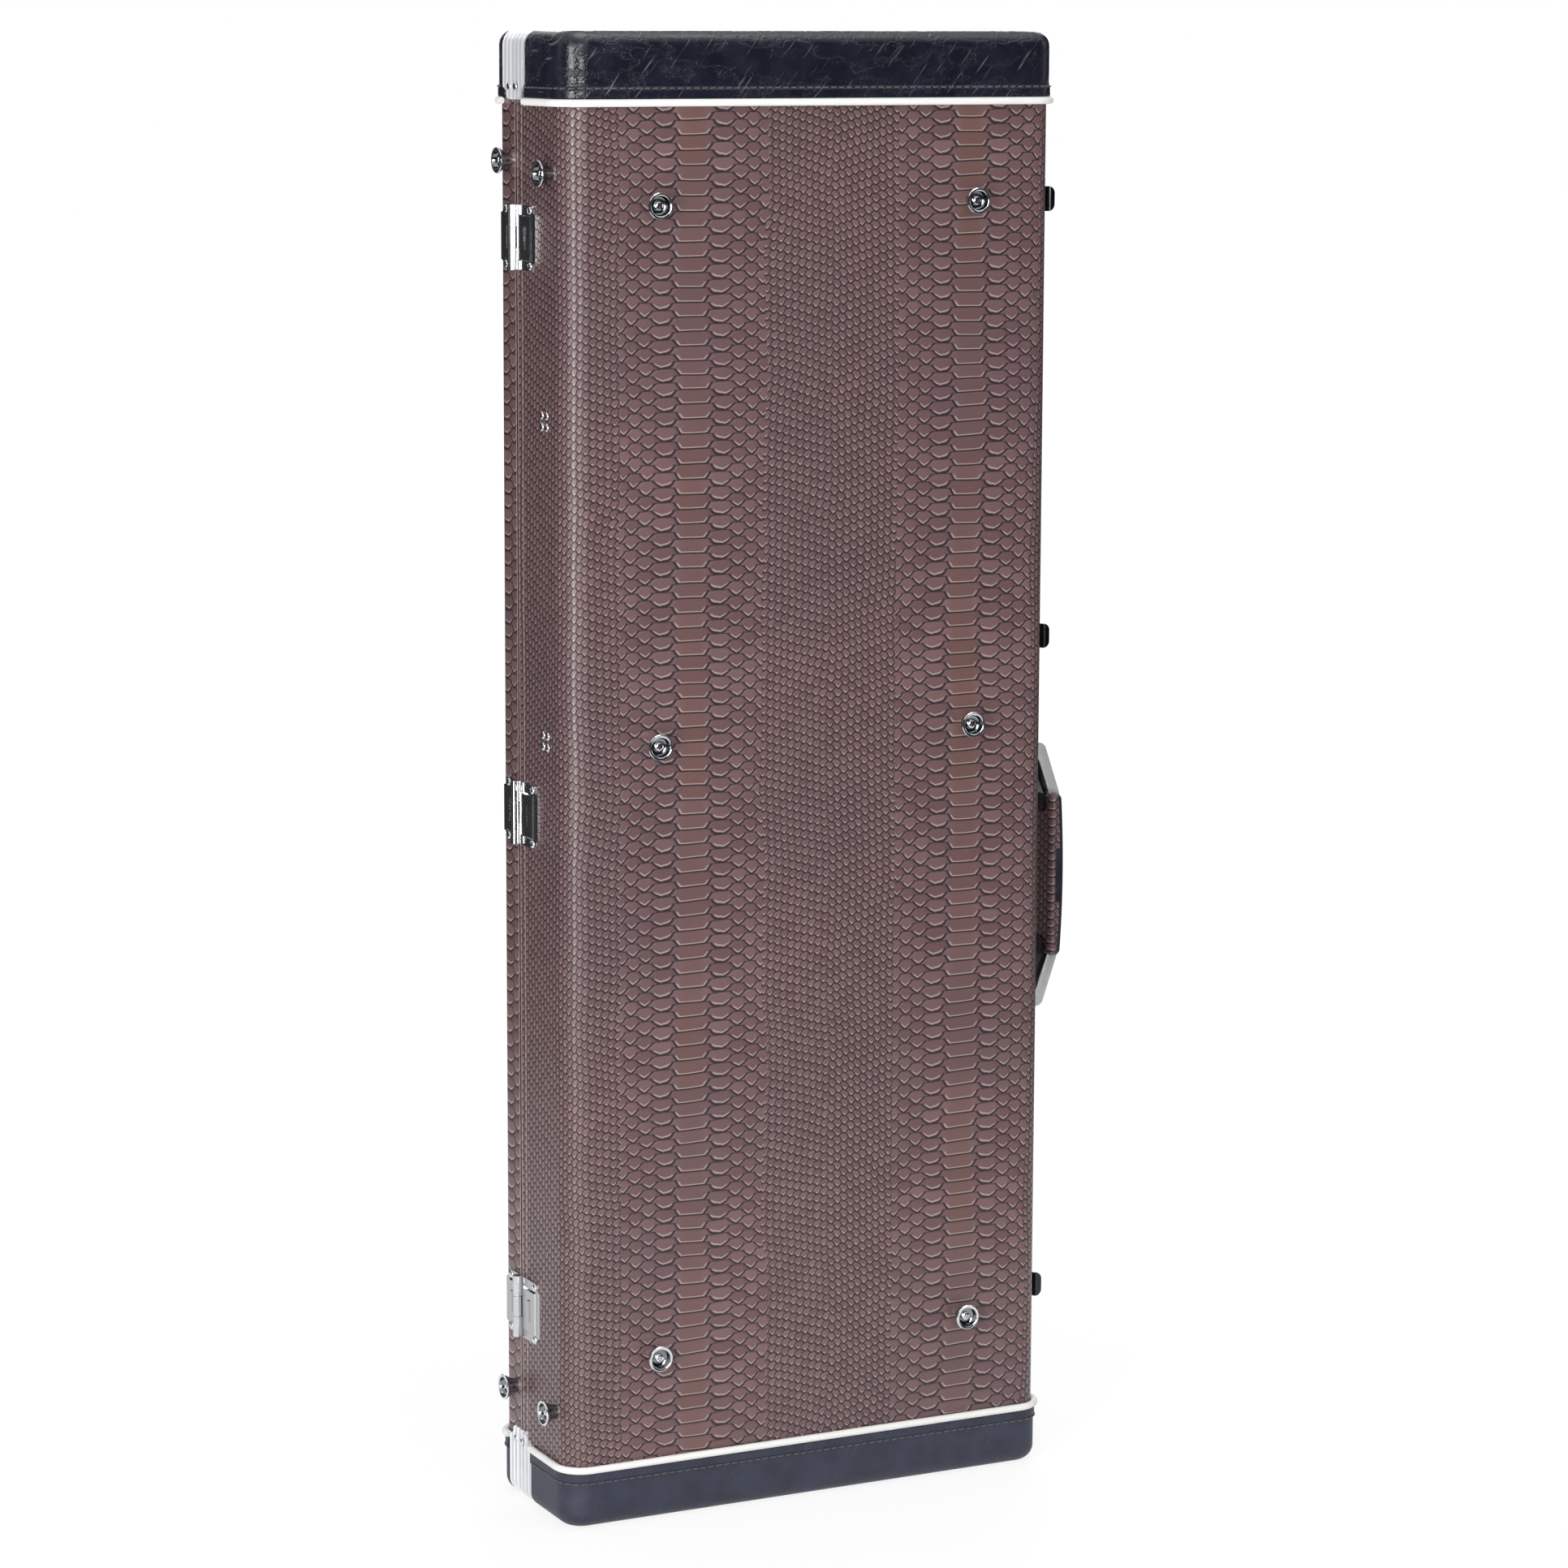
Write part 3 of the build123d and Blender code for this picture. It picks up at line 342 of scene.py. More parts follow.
def build_grain_group():
    """Group 'grain': leather pores, soft creases, a patchy sheen and slanted scratches."""
    inputs = [("Vector", "Vector"), ("Fineness", "Float"), ("Creases", "Float")]
    tree, source, sink = new_group("grain", inputs, [("Height", "Float"), ("Sheen", "Float"), ("Scratch", "Float")])
    cells = add(tree, "TexVoronoi", {"Vector": source["Vector"], "Scale": source["Fineness"]},
                feature="DISTANCE_TO_EDGE").outputs["Distance"]
    pores = ramp(tree, cells, 0.0, 0.3)
    folded = add(tree, "Mapping", {"Vector": source["Vector"], "Scale": (9.0, 9.0, 22.0)}).outputs[0]
    warp = noise(tree, folded, 2.4, 6.0, 0.62)
    line = gap(tree, warp, 0.5)
    crease = maths(tree, "MULTIPLY", ramp(tree, line, 0.0, 0.035), source["Creases"])
    soft = noise(tree, source["Vector"], 60.0, 3.0)
    total = maths(tree, "ADD", maths(tree, "MULTIPLY", pores, 0.25), crease)
    tree.links.new(maths(tree, "ADD", total, maths(tree, "MULTIPLY", soft, 0.5)), sink["Height"])
    tree.links.new(ramp(tree, soft, 0.3, 0.7), sink["Sheen"])
    slant = {"Vector": source["Vector"], "Rotation": (0.0, -0.9, 0.0), "Scale": (0.03, 0.03, 0.0018)}
    slanted = add(tree, "Mapping", slant, vector_type="TEXTURE")
    streaks = noise(tree, slanted.outputs[0], 1.0, 2.0, 0.5)
    tree.links.new(maths(tree, "MULTIPLY", ramp(tree, streaks, 0.62, 0.74), source["Creases"]), sink["Scratch"])


def build_wear_group():
    """Group 'wear': mask of the light haze that handling leaves."""
    tree, source, sink = new_group("wear", [("Vector", "Vector")], [("Haze", "Float")])
    haze = noise(tree, source["Vector"], 70.0, 3.0, 0.5)
    tree.links.new(ramp(tree, haze, 0.3, 0.75), sink["Haze"])


def new_material(name):
    """Material with an empty tree, its shader and its output."""
    material = bpy.data.materials.new(name)
    material.use_nodes = True
    tree = material.node_tree
    tree.nodes.clear()
    shader = add(tree, "BsdfPrincipled")
    output = tree.nodes.new("ShaderNodeOutputMaterial")
    tree.links.new(shader.outputs[0], output.inputs[0])
    return material, tree, shader


def bump(tree, shader, height, distance, strength=1.0):
    """Feed a height to a shader's normal."""
    made = add(tree, "Bump", {"Height": height, "Distance": distance, "Strength": strength})
    tree.links.new(made.outputs[0], shader.inputs["Normal"])


def vinyl_material(name, closed_y, belly_lines, row_height, folds):
    """Python-embossed vinyl of one half: belly plates, large and small scales, painted shade in their valleys and
    along the seam, and painted highlights on their lower rims and on the folds beside the seam.
    """
    settings = bpy.context.scene.guitar_case
    material, tree, shader = new_material(name)
    split = parts(tree, place(tree))
    sway = noise(tree, place(tree), 9.0, 2.0)
    sway = maths(tree, "MULTIPLY", maths(tree, "SUBTRACT", sway, 0.5), SWAY)
    deep = gap(tree, split[1], closed_y)
    unrolled = maths(tree, "ADD", maths(tree, "ABSOLUTE", split[0]), deep)
    across = maths(tree, "ADD", maths(tree, "MULTIPLY", unrolled, maths(tree, "SIGN", split[0])), sway)
    along = maths(tree, "ADD", split[2], maths(tree, "MULTIPLY", sway, 0.6))
    away = [gap(tree, across, line) for line in belly_lines]
    belly = maths(tree, "MINIMUM", *away)
    curve = add(tree, "FloatCurve", {"Value": maths(tree, "DIVIDE", belly, BELLY_REACH)})
    points = curve.mapping.curves[0].points
    for millimetres, column in COLUMN_ENDS_MM:
        points.new(millimetres / (1000 * BELLY_REACH), column / COLUMN_COUNT)
    points[-1].location = (1.0, 1.0)
    curve.mapping.update()
    column = maths(tree, "MULTIPLY", curve.outputs[0], COLUMN_COUNT)
    rows = maths(tree, "DIVIDE", along, row_height)
    width = ramp(tree, belly, 0.012, 0.023, 2.6, 1.35)
    large = use_group(tree, "scales", {"Across": column, "Along": rows, "Width": width, **LARGE_SCALES})
    slant = maths(tree, "MULTIPLY", gap(tree, across, sum(belly_lines) / 2), SMALL_SLANT)
    small_across = maths(tree, "DIVIDE", across, settings.small_column_width)
    small_rows = maths(tree, "DIVIDE", maths(tree, "ADD", along, slant), settings.small_row_height)
    small = use_group(tree, "scales", {"Across": small_across, "Along": small_rows, **SMALL_SCALES})
    edge = maths(tree, "ADD", belly, maths(tree, "MULTIPLY", sway, 0.8))
    fine = ramp(tree, edge, SMALL_FROM, SMALL_FULL)
    picked = {}
    for label in SCALE_OUTPUTS:
        picked[label] = add(tree, "Mix", {0: fine, 2: large[label], 3: small[label]}).outputs[0]
    ground = opaque(settings.vinyl_colour)
    darker = mixed(tree, 1.0, ground, opaque(DARK_SCALE), "MULTIPLY")
    toned = mixed(tree, picked["Tone"], darker, ground)
    heart = ramp(tree, belly, 0.012, 0.005, 0.0, 0.55)
    toned = mixed(tree, heart, toned, opaque(BELLY_HEART))
    cloud = ramp(tree, noise(tree, place(tree), 7.0, 4.0), 0.35, 0.7, 0.0, 0.5)
    toned = mixed(tree, cloud, toned, opaque(VINYL_CLOUD))
    # Painted highlight along the lower rims of the scales
    toned = mixed(tree, maths(tree, "MULTIPLY", picked["Rim"], 0.7), toned, opaque(settings.rim_highlight_colour))
    # Painted shade in the valleys between the scales
    colour = mixed(tree, picked["Crown"], opaque(settings.groove_shade_colour), toned)
    from_seam = gap(tree, split[1], seam)
    # Painted highlights along the folds beside the seam
    fold_highlight = 0.0
    for level in folds:
        off = gap(tree, from_seam, level)
        fold_highlight = maths(tree, "MAXIMUM", fold_highlight, ramp(tree, off, 0.0011, 0.0005))
    # Painted shade along the seam between the halves
    colour = mixed(tree, ramp(tree, from_seam, 0.0012, 0.0006), colour, opaque(settings.groove_shade_colour))
    colour = mixed(tree, maths(tree, "MULTIPLY", fold_highlight, 0.55), colour, opaque(settings.rim_highlight_colour))
    tree.links.new(colour, shader.inputs["Base Color"])
    pores = noise(tree, place(tree), 900.0, 3.0)
    rough = ramp(tree, picked["Crown"], 0.0, 1.0, 0.6, 0.4)
    tree.links.new(rough, shader.inputs["Roughness"])
    coat = maths(tree, "ADD", maths(tree, "MULTIPLY", picked["Rim"], 0.6), 0.3)
    tree.links.new(coat, shader.inputs["Coat Weight"])
    shader.inputs["Coat Roughness"].default_value = 0.26
    height = maths(tree, "ADD", picked["Lift"], maths(tree, "MULTIPLY", pores, 0.1))
    bump(tree, shader, height, 0.00045, 0.9)
    return material


def leather_material(name, colour, rough_low, rough_high, creases, stitch_level=None):
    """Black leather with pores, creases, scratches, a patchy shine and the groove of a sewn hem."""
    material, tree, shader = new_material(name)
    shader.inputs["Base Color"].default_value = opaque(colour)
    grain = use_group(tree, "grain", {"Vector": place(tree), "Fineness": 620.0, "Creases": creases})
    # Painted sheen: lighter leather where the patchy sheen mask is high
    tone = mixed(tree, grain["Sheen"], opaque(colour), opaque([part * 1.6 for part in colour]))
    worn = opaque([part + 0.14 for part in colour])
    tone = mixed(tree, grain["Scratch"], tone, worn)
    tree.links.new(tone, shader.inputs["Base Color"])
    rough = ramp(tree, grain["Sheen"], 0.0, 1.0, rough_low, rough_high)
    tree.links.new(rough, shader.inputs["Roughness"])
    height = grain["Height"]
    if stitch_level is not None:
        level = parts(tree, place(tree))[2]
        away = gap(tree, level, stitch_level)
        height = maths(tree, "ADD", height, maths(tree, "MULTIPLY", ramp(tree, away, 0.0, 0.0016), 3.0))
    bump(tree, shader, height, 0.0004, 0.6)
    return material


def metal_material(name, colour, roughness, haze, metallic=1.0, panels=None, ribs=False):
    """Plated or polished metal with faint handling haze, and if asked with a painted dark reflection on flat panels,
    or painted shade and highlights on ribs.
    """
    material, tree, shader = new_material(name)
    shader.inputs["Metallic"].default_value = metallic
    wear = use_group(tree, "wear", {"Vector": place(tree)})
    tone = mixed(tree, wear["Haze"], opaque(colour), opaque([part * 0.88 for part in colour]))
    if ribs:
        level = parts(tree, place(tree))[1]
        away = gap(tree, level, seam)
        part_way = maths(tree, "FRACT", maths(tree, "DIVIDE", away, RIB_PITCH))
        rib = maths(tree, "MULTIPLY", gap(tree, part_way, 0.5), 2.0)
        # Painted shade in the valleys between the ribs, and a painted highlight on their crests
        tone = mixed(tree, ramp(tree, rib, 0.7, 0.95), tone, opaque([share * RIB_SHADE for share in colour]))
        tone = mixed(tree, ramp(tree, rib, 0.4, 0.1), tone, opaque(RIB_CREST_HIGHLIGHT))
    # Painted dark reflection on the flat faces, so that the slopes between them look bright
    if panels is not None:
        facing = parts(tree, add(tree, "TexCoord").outputs["Normal"])[0]
        flat = ramp(tree, maths(tree, "ABSOLUTE", facing), 0.955, 0.995)
        tone = mixed(tree, flat, tone, opaque(panels))
    tree.links.new(tone, shader.inputs["Base Color"])
    tree.links.new(ramp(tree, wear["Haze"], 0.0, 1.0, roughness, roughness + haze), shader.inputs["Roughness"])
    return material


def plush_material():
    """Short black pile with lighter tips."""
    material, tree, shader = new_material("plush")
    pile = noise(tree, place(tree), 2400.0, 2.0, 0.7)
    nap = noise(tree, place(tree), 22.0, 4.0)
    dark = mixed(tree, pile, (0.004, 0.004, 0.005, 1.0), (0.035, 0.034, 0.038, 1.0))
    tone = mixed(tree, ramp(tree, nap, 0.35, 0.7), dark, (0.03, 0.029, 0.033, 1.0))
    tree.links.new(tone, shader.inputs["Base Color"])
    shader.inputs["Roughness"].default_value = 0.95
    shader.inputs["Sheen Weight"].default_value = 0.6
    shader.inputs["Sheen Roughness"].default_value = 0.4
    bump(tree, shader, maths(tree, "ADD", pile, maths(tree, "MULTIPLY", nap, 3.0)), 0.0008, 0.7)
    return material


def plywood_material():
    """Birch board with its long grain."""
    material, tree, shader = new_material("plywood")
    grain = add(tree, "Mapping", {"Vector": place(tree), "Scale": (60.0, 60.0, 4.0)}).outputs[0]
    rings = noise(tree, grain, 5.0, 6.0, 0.65)
    tone = mixed(tree, ramp(tree, rings, 0.3, 0.7), (0.5, 0.34, 0.2, 1.0), (0.66, 0.49, 0.31, 1.0))
    tree.links.new(tone, shader.inputs["Base Color"])
    shader.inputs["Roughness"].default_value = 0.7
    bump(tree, shader, rings, 0.0003, 0.4)
    return material


def piping_material():
    """Smooth white vinyl welt, a little soiled."""
    colour = bpy.context.scene.guitar_case.piping_colour
    material, tree, shader = new_material("piping")
    soil = ramp(tree, noise(tree, place(tree), 40.0, 5.0), 0.35, 0.75, 0.0, 0.25)
    tone = mixed(tree, soil, opaque(colour), opaque([part * 0.93 for part in colour]))
    tree.links.new(tone, shader.inputs["Base Color"])
    shader.inputs["Roughness"].default_value = 0.42
    bump(tree, shader, noise(tree, place(tree), 500.0, 3.0), 0.0001, 0.3)
    return material


def thread_material():
    """Waxed black thread with its twist."""
    material, tree, shader = new_material("thread")
    twist = add(tree, "TexWave", {"Vector": place(tree), "Scale": 900.0}, bands_direction="DIAGONAL").outputs[1]
    tone = mixed(tree, twist, (0.03, 0.03, 0.034, 1.0), (0.16, 0.16, 0.17, 1.0))
    tree.links.new(tone, shader.inputs["Base Color"])
    shader.inputs["Roughness"].default_value = 0.35
    bump(tree, shader, twist, 0.00008)
    return material


def build_materials():
    """Every finish of the case, kept by name."""
    settings = bpy.context.scene.guitar_case
    build_scale_group()
    build_grain_group()
    build_wear_group()
    lines = (settings.left_belly, settings.right_belly)
    vinyl_material("base_vinyl", front, lines, settings.row_height, BASE_FOLD_HIGHLIGHTS)
    lid_line = latch_wall + back - (back - seam) / 2 - LID_BELLY_INSET
    vinyl_material("lid_vinyl", back, (-lid_line, lid_line), settings.row_height, LID_FOLD_HIGHLIGHTS)
    top_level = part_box("base_cap_top")[0].z + STITCH_FROM_HEM
    bottom_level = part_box("base_cap_bottom")[1].z - STITCH_FROM_HEM
    leather_material("top_leather", settings.leather_colour, 0.09, 0.2, 0.8, top_level)
    # Bottom cap's leather lighter than the top's: painted reflection of the floor
    bottom_black_painted_reflection = [part * 2.4 for part in settings.leather_colour]
    leather_material("bottom_leather", bottom_black_painted_reflection, 0.42, 0.5, 0.15, bottom_level)
    leather_material("edge_leather", settings.leather_colour, 0.35, 0.5, 0.2)
    for name, colour, roughness, haze, more in METALS:
        metal_material(name, colour, roughness, haze, **more)
    plush_material()
    plywood_material()
    piping_material()
    thread_material()


# Mesh helpers


def deselect():
    """Leave nothing selected."""
    bpy.ops.object.select_all(action="DESELECT")


def choose(obj):
    """Make one object selected and active."""
    deselect()
    obj.select_set(True)
    bpy.context.view_layer.objects.active = obj


def settle(obj):
    """Apply the object's place to its mesh and turn its faces outward."""
    choose(obj)
    bpy.ops.object.transform_apply(location=True, rotation=True, scale=True)
    bpy.ops.object.mode_set(mode="EDIT")
    bpy.ops.mesh.select_all(action="SELECT")
    bpy.ops.mesh.remove_doubles(threshold=0.000002)
    bpy.ops.mesh.normals_make_consistent(inside=False)
    bpy.ops.object.mode_set(mode="OBJECT")


def apply_all(obj):
    """Apply every modifier of an object, in order."""
    choose(obj)
    for modifier in list(obj.modifiers):
        bpy.ops.object.modifier_apply(modifier=modifier.name)


def dress(obj, name, body, slot, *materials, angle=40, replaces=()):
    """Name a finished piece, give it its finish and its body, and hide the CAD parts that it stands for."""
    obj.name = name
    obj.data.name = name
    while len(obj.data.materials) < len(materials):
        obj.data.materials.append(None)
    for index, material in enumerate(materials):
        obj.data.materials[index] = bpy.data.materials[material]
    choose(obj)
    bpy.ops.object.shade_smooth_by_angle(angle=math.radians(angle))
    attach(obj, body)
    if replaces:
        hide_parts(*replaces)
    return obj


def two_finishes(obj, first, second, is_second):
    """Give a mesh two finishes, the second where a test of the face says so."""
    for name in (first, second):
        obj.data.materials.append(bpy.data.materials[name])
    for face in obj.data.polygons:
        face.material_index = int(is_second(face))


def finish_node(node, material):
    """Give a CAD node its finish."""
    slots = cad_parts[node].data.materials
    slots.clear()
    slots.append(bpy.data.materials[material])


def turned(points, segments=48):
    """Turned form on the Z axis, drawn up ring by ring from its first radius and height."""
    radius, level = points[0]
    bpy.ops.mesh.primitive_circle_add(vertices=segments, radius=radius, fill_type="NGON")
    obj = bpy.context.object
    bpy.ops.object.mode_set(mode="EDIT")
    bpy.ops.mesh.select_all(action="SELECT")
    bpy.ops.transform.translate(value=(0, 0, level))
    for next_radius, next_level in points[1:]:
        move = {"value": (0, 0, next_level - level)}
        bpy.ops.mesh.extrude_region_move(TRANSFORM_OT_translate=move)
        ratio = next_radius / radius
        bpy.ops.transform.resize(value=(ratio, ratio, 1), center_override=(0, 0, next_level))
        radius, level = next_radius, next_level
    bpy.ops.object.mode_set(mode="OBJECT")
    return obj


def copy_to(obj, matrix):
    """Copy with its own mesh, placed by a matrix."""
    twin = bpy.data.objects.new(obj.name, obj.data.copy())
    bpy.context.scene.collection.objects.link(twin)
    twin.data.transform(matrix)
    return twin


def joined(objects):
    """Objects joined as one."""
    deselect()
    for obj in objects:
        obj.select_set(True)
    bpy.context.view_layer.objects.active = objects[0]
    if len(objects) > 1:
        bpy.ops.object.join()
    return objects[0]


def remove(obj):
    """Delete a pattern object once its copies are made."""
    bpy.data.objects.remove(obj)


def solids_of(node):
    """Lowest and highest corner of each separate solid of a CAD node."""
    mesh = bmesh.new()
    mesh.from_mesh(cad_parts[node].data)
    bmesh.ops.remove_doubles(mesh, verts=mesh.verts, dist=0.00002)
    left = set(mesh.verts)
    boxes = []
    while left:
        found = [left.pop()]
        for vertex in found:
            for edge in vertex.link_edges:
                other = edge.other_vert(vertex)
                if other in left:
                    left.remove(other)
                    found.append(other)
        low = Vector([min(vertex.co[axis] for vertex in found) for axis in range(3)])
        high = Vector([max(vertex.co[axis] for vertex in found) for axis in range(3)])
        boxes.append((low, high))
    mesh.free()
    return sorted(boxes, key=lambda pair: tuple(round(value, 4) for value in pair[0]))


def wall_seat(low, high):
    """Matrix that stands a form, modelled upright at the origin, on the wall that carries a solid."""
    middle = (low + high) / 2
    if low.x < hinge_wall - OFF_WALL:
        return Matrix.Translation((high.x, middle.y, middle.z)) @ Matrix.Rotation(-math.pi / 2, 4, "Y")
    if high.x > latch_wall + OFF_WALL:
        return Matrix.Translation((low.x, middle.y, middle.z)) @ Matrix.Rotation(math.pi / 2, 4, "Y")
    return Matrix.Translation((middle.x, high.y, middle.z)) @ Matrix.Rotation(math.pi / 2, 4, "X")


def planted(pattern, node):
    """Copies of a pattern where a CAD node has its solids, joined as one."""
    return joined([copy_to(pattern, wall_seat(low, high)) for low, high in solids_of(node)])


def wall_line(side, outward, start_y, steps=10):
    """Points of the line that follows a half's wall: up one side wall, across and down the other."""
    half = latch_wall + outward
    sign = -1 if side == "base" else 1
    closed = (front if side == "base" else back) + sign * outward
    bend = (BASE_ROUND if side == "base" else LID_ROUND) + outward
    points = [Vector((-half, start_y))]
    for index in range(steps + 1):
        turn = math.pi / 2 * index / steps
        points.append(Vector((-half + bend - bend * math.cos(turn), closed - sign * bend * (1 - math.sin(turn)))))
    for index in range(steps + 1):
        turn = math.pi / 2 * index / steps
        points.append(Vector((half - bend + bend * math.sin(turn), closed - sign * bend * (1 - math.cos(turn)))))
    points.append(Vector((half, start_y)))
    return points


def spaced(points, pitch):
    """Places and directions at an even pitch along a line of points."""
    places = []
    reached = pitch / 2
    for first, second in zip(points, points[1:]):
        run = second - first
        length = run.length
        while reached < length:
            places.append((first + run * reached / length, run.normalized()))
            reached += pitch
        reached -= length
    return places


class GUITARCASE_OT_shells(bpy.types.Operator):
    """Finish the vinyl, board and lining of both halves."""

    bl_idname = "guitar_case.shells"
    bl_label = "Shells"

    def execute(self, context):
        for side in HALVES:
            finish_node(side + "_covering", side + "_vinyl")
            finish_node(side + "_board", "plywood")
            finish_node(side + "_lining", "plush")
        return {"FINISHED"}


class GUITARCASE_OT_caps(bpy.types.Operator):
    """Finish the leather end caps and sew their hems."""

    bl_idname = "guitar_case.caps"
    bl_label = "End caps"

    def execute(self, context):
        for side in HALVES:
            for end in ENDS:
                finish_node("%s_cap_%s" % (side, end), end + "_leather")
                self.sew(side, end, context.scene.guitar_case.stitch_pitch)
        return {"FINISHED"}

    def sew(self, side, end, pitch):
        """Row of stitches along the hem of one cap."""
        low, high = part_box("%s_cap_%s" % (side, end))
        level = low.z + STITCH_FROM_HEM if end == "top" else high.z - STITCH_FROM_HEM
        start = high.y if side == "base" else low.y
        bpy.ops.mesh.primitive_cylinder_add(vertices=8, radius=STITCH_RADIUS, depth=pitch * STITCH_SHARE)
        stitch = bpy.context.object
        bevel = stitch.modifiers.new("round", "BEVEL")
        bevel.width = STITCH_RADIUS / 2
        bevel.segments = 2
        bevel.limit_method = "ANGLE"
        apply_all(stitch)
        line = wall_line(side, CAP_OUT + 0.0001, start)
        copies = []
        for spot, run in spaced(line, pitch):
            lay = Vector((run.x, run.y, STITCH_LEAN)).to_track_quat("Z", "Y").to_matrix().to_4x4()
            copies.append(copy_to(stitch, Matrix.Translation((spot.x, spot.y, level)) @ lay))
        remove(stitch)
        row = joined(copies)
        dress(row, "%s_stitches_%s" % (side, end), side, "leather", "thread")


class GUITARCASE_OT_piping(bpy.types.Operator):
    """Lay the white welt beyond the hem of each cap."""

    bl_idname = "guitar_case.piping"
    bl_label = "Piping"

    def execute(self, context):
        for side in HALVES:
            for end in ENDS:
                self.lay(side, end)
        return {"FINISHED"}

    def lay(self, side, end):
        """Bead with round section that follows one half's wall."""
        node = "%s_piping_%s" % (side, end)
        low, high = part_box(node)
        radius = (high.z - low.z) / 2
        level = (high.z + low.z) / 2
        start = high.y if side == "base" else low.y
        bpy.ops.curve.primitive_bezier_curve_add()
        bead = bpy.context.object
        bead.data.splines.clear()
        spline = bead.data.splines.new("POLY")
        line = wall_line(side, radius + 0.00005, start, 16)
        spline.points.add(len(line) - 1)
        for point, spot in zip(spline.points, line):
            point.co = (spot.x, spot.y, level, 1.0)
        bead.data.bevel_depth = radius
        bead.data.bevel_resolution = 6
        bead.data.use_fill_caps = True
        choose(bead)
        bpy.ops.object.convert(target="MESH")
        settle(bead)
        dress(bead, "%s_welt_%s" % (side, end), side, "piping", "piping", angle=60, replaces=(node,))


class GUITARCASE_OT_feet(bpy.types.Operator):
    """Turn the flared feet and their cross-headed screws."""

    bl_idname = "guitar_case.feet"
    bl_label = "Feet"

    def execute(self, context):
        foot = self.foot()
        screw = self.screw()
        for side in HALVES:
            feet = planted(foot, side + "_feet")
            dress(feet, side + "_flared_feet", side, "chrome", "chrome", "dish_shade", angle=35,
                  replaces=(side + "_feet",))
            screws = planted(screw, side + "_foot_screws")
            dress(screws, side + "_cross_screws", side, "chrome", "chrome", angle=35,
                  replaces=(side + "_foot_screws",))
        remove(foot)
        remove(screw)
        return {"FINISHED"}

    def foot(self):
        """Waist, flaring bell, rounded rim and dish as one turned form, with a painted dark reflection, darker chrome,
        in the dish and below the bell.
        """
        foot = turned(FOOT_OUTLINE, 56)

        def shaded(face):
            reach = math.hypot(face.center.x, face.center.y)
            dish = DISH_INNER < reach < DISH_OUTER and face.center.z > DISH_FLOOR and face.normal.z > 0
            return dish or face.normal.z < 0

        two_finishes(foot, "chrome", "dish_shade", shaded)
        return foot

    def screw(self):
        """Pan head with a cross recess."""
        head = turned(SCREW_OUTLINE, 32)
        arms = []
        for size in ((CROSS_LONG, CROSS_NARROW), (CROSS_NARROW, CROSS_LONG)):
            bpy.ops.mesh.primitive_cube_add(size=1, location=(0, 0, CROSS_LEVEL))
            bpy.context.object.scale = (*size, CROSS_DEEP)
            settle(bpy.context.object)
            arms.append(bpy.context.object)
        for arm in arms:
            cut = head.modifiers.new("cross", "BOOLEAN")
            cut.operation = "DIFFERENCE"
            cut.object = arm
        apply_all(head)
        for arm in arms:
            remove(arm)
        return head


class GUITARCASE_OT_rivets(bpy.types.Operator):
    """Set the domed rivets and nails."""

    bl_idname = "guitar_case.rivets"
    bl_label = "Rivets"

    def execute(self, context):
        rivet = turned(RIVET_OUTLINE, 24)
        for side in HALVES:
            heads = planted(rivet, side + "_rivets")
            dress(heads, side + "_domed_rivets", side, "chrome", "chrome", replaces=(side + "_rivets",))
        remove(rivet)
        return {"FINISHED"}


class GUITARCASE_OT_hardware(bpy.types.Operator):
    """Finish the seam strips, hinges, latches and handle fittings."""

    bl_idname = "guitar_case.hardware"
    bl_label = "Hardware"

    def execute(self, context):
        for side in HALVES:
            for end in ENDS:
                finish_node("%s_strip_%s" % (side, end), "bright_strip")
            for row in ROWS:
                finish_node("hinge_%s_%s_leaf" % (row, side), "hinge_nickel")
        finish_node("hinge_pins", "nickel")
        finish_node("latch_pivot_pins", "chrome")
        for row in ROWS:
            for piece in ("plate", "claw", "claw_pin", "strike"):
                finish_node("latch_%s_%s" % (row, piece), "nickel")
            finish_node("latch_%s_lever" % row, "dark_nickel_and_painted_shade")
        for end in ("upper", "lower"):
            # Straps dark nickel: painted shade under the grip
            finish_node("handle_%s_strap" % end, "dark_nickel_and_painted_shade")
            finish_node("handle_%s_bracket" % end, "nickel")
        finish_node("handle_pins", "nickel")
        return {"FINISHED"}


class GUITARCASE_OT_grip(bpy.types.Operator):
    """Wrap the handle's grip: embossed vinyl on its sides, black leather round its edges."""

    bl_idname = "guitar_case.grip"
    bl_label = "Grip"

    def execute(self, context):
        low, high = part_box("handle_grip")
        middle = (low + high) / 2
        size = high - low
        bpy.ops.mesh.primitive_cube_add(size=1, location=middle)
        grip = bpy.context.object
        grip.scale = size
        settle(grip)
        bevel = grip.modifiers.new("round", "BEVEL")
        bevel.width = GRIP_BEVEL
        bevel.segments = 6
        bevel.limit_method = "NONE"
        apply_all(grip)
        bpy.ops.object.mode_set(mode="EDIT")
        for level in range(1, GRIP_BANDS):
            cut = Vector((middle.x, middle.y, low.z + size.z * level / GRIP_BANDS))
            bpy.ops.mesh.select_all(action="SELECT")
            bpy.ops.mesh.bisect(plane_co=cut, plane_no=(0, 0, 1))
        bpy.ops.object.mode_set(mode="OBJECT")
        half = size.z / 2
        for vertex in grip.data.vertices:
            share = (vertex.co.z - middle.z) / half
            if vertex.co.x > middle.x:
                vertex.co.x += GRIP_BOW * (1 - share * share)
        for face in grip.data.polygons:
            face.material_index = int(face.center.x > high.x - GRIP_EDGE)
        dress(grip, "wrapped_grip", "handle", "grip_vinyl", "base_vinyl", "edge_leather", angle=60,
              replaces=("handle_grip",))
        return {"FINISHED"}


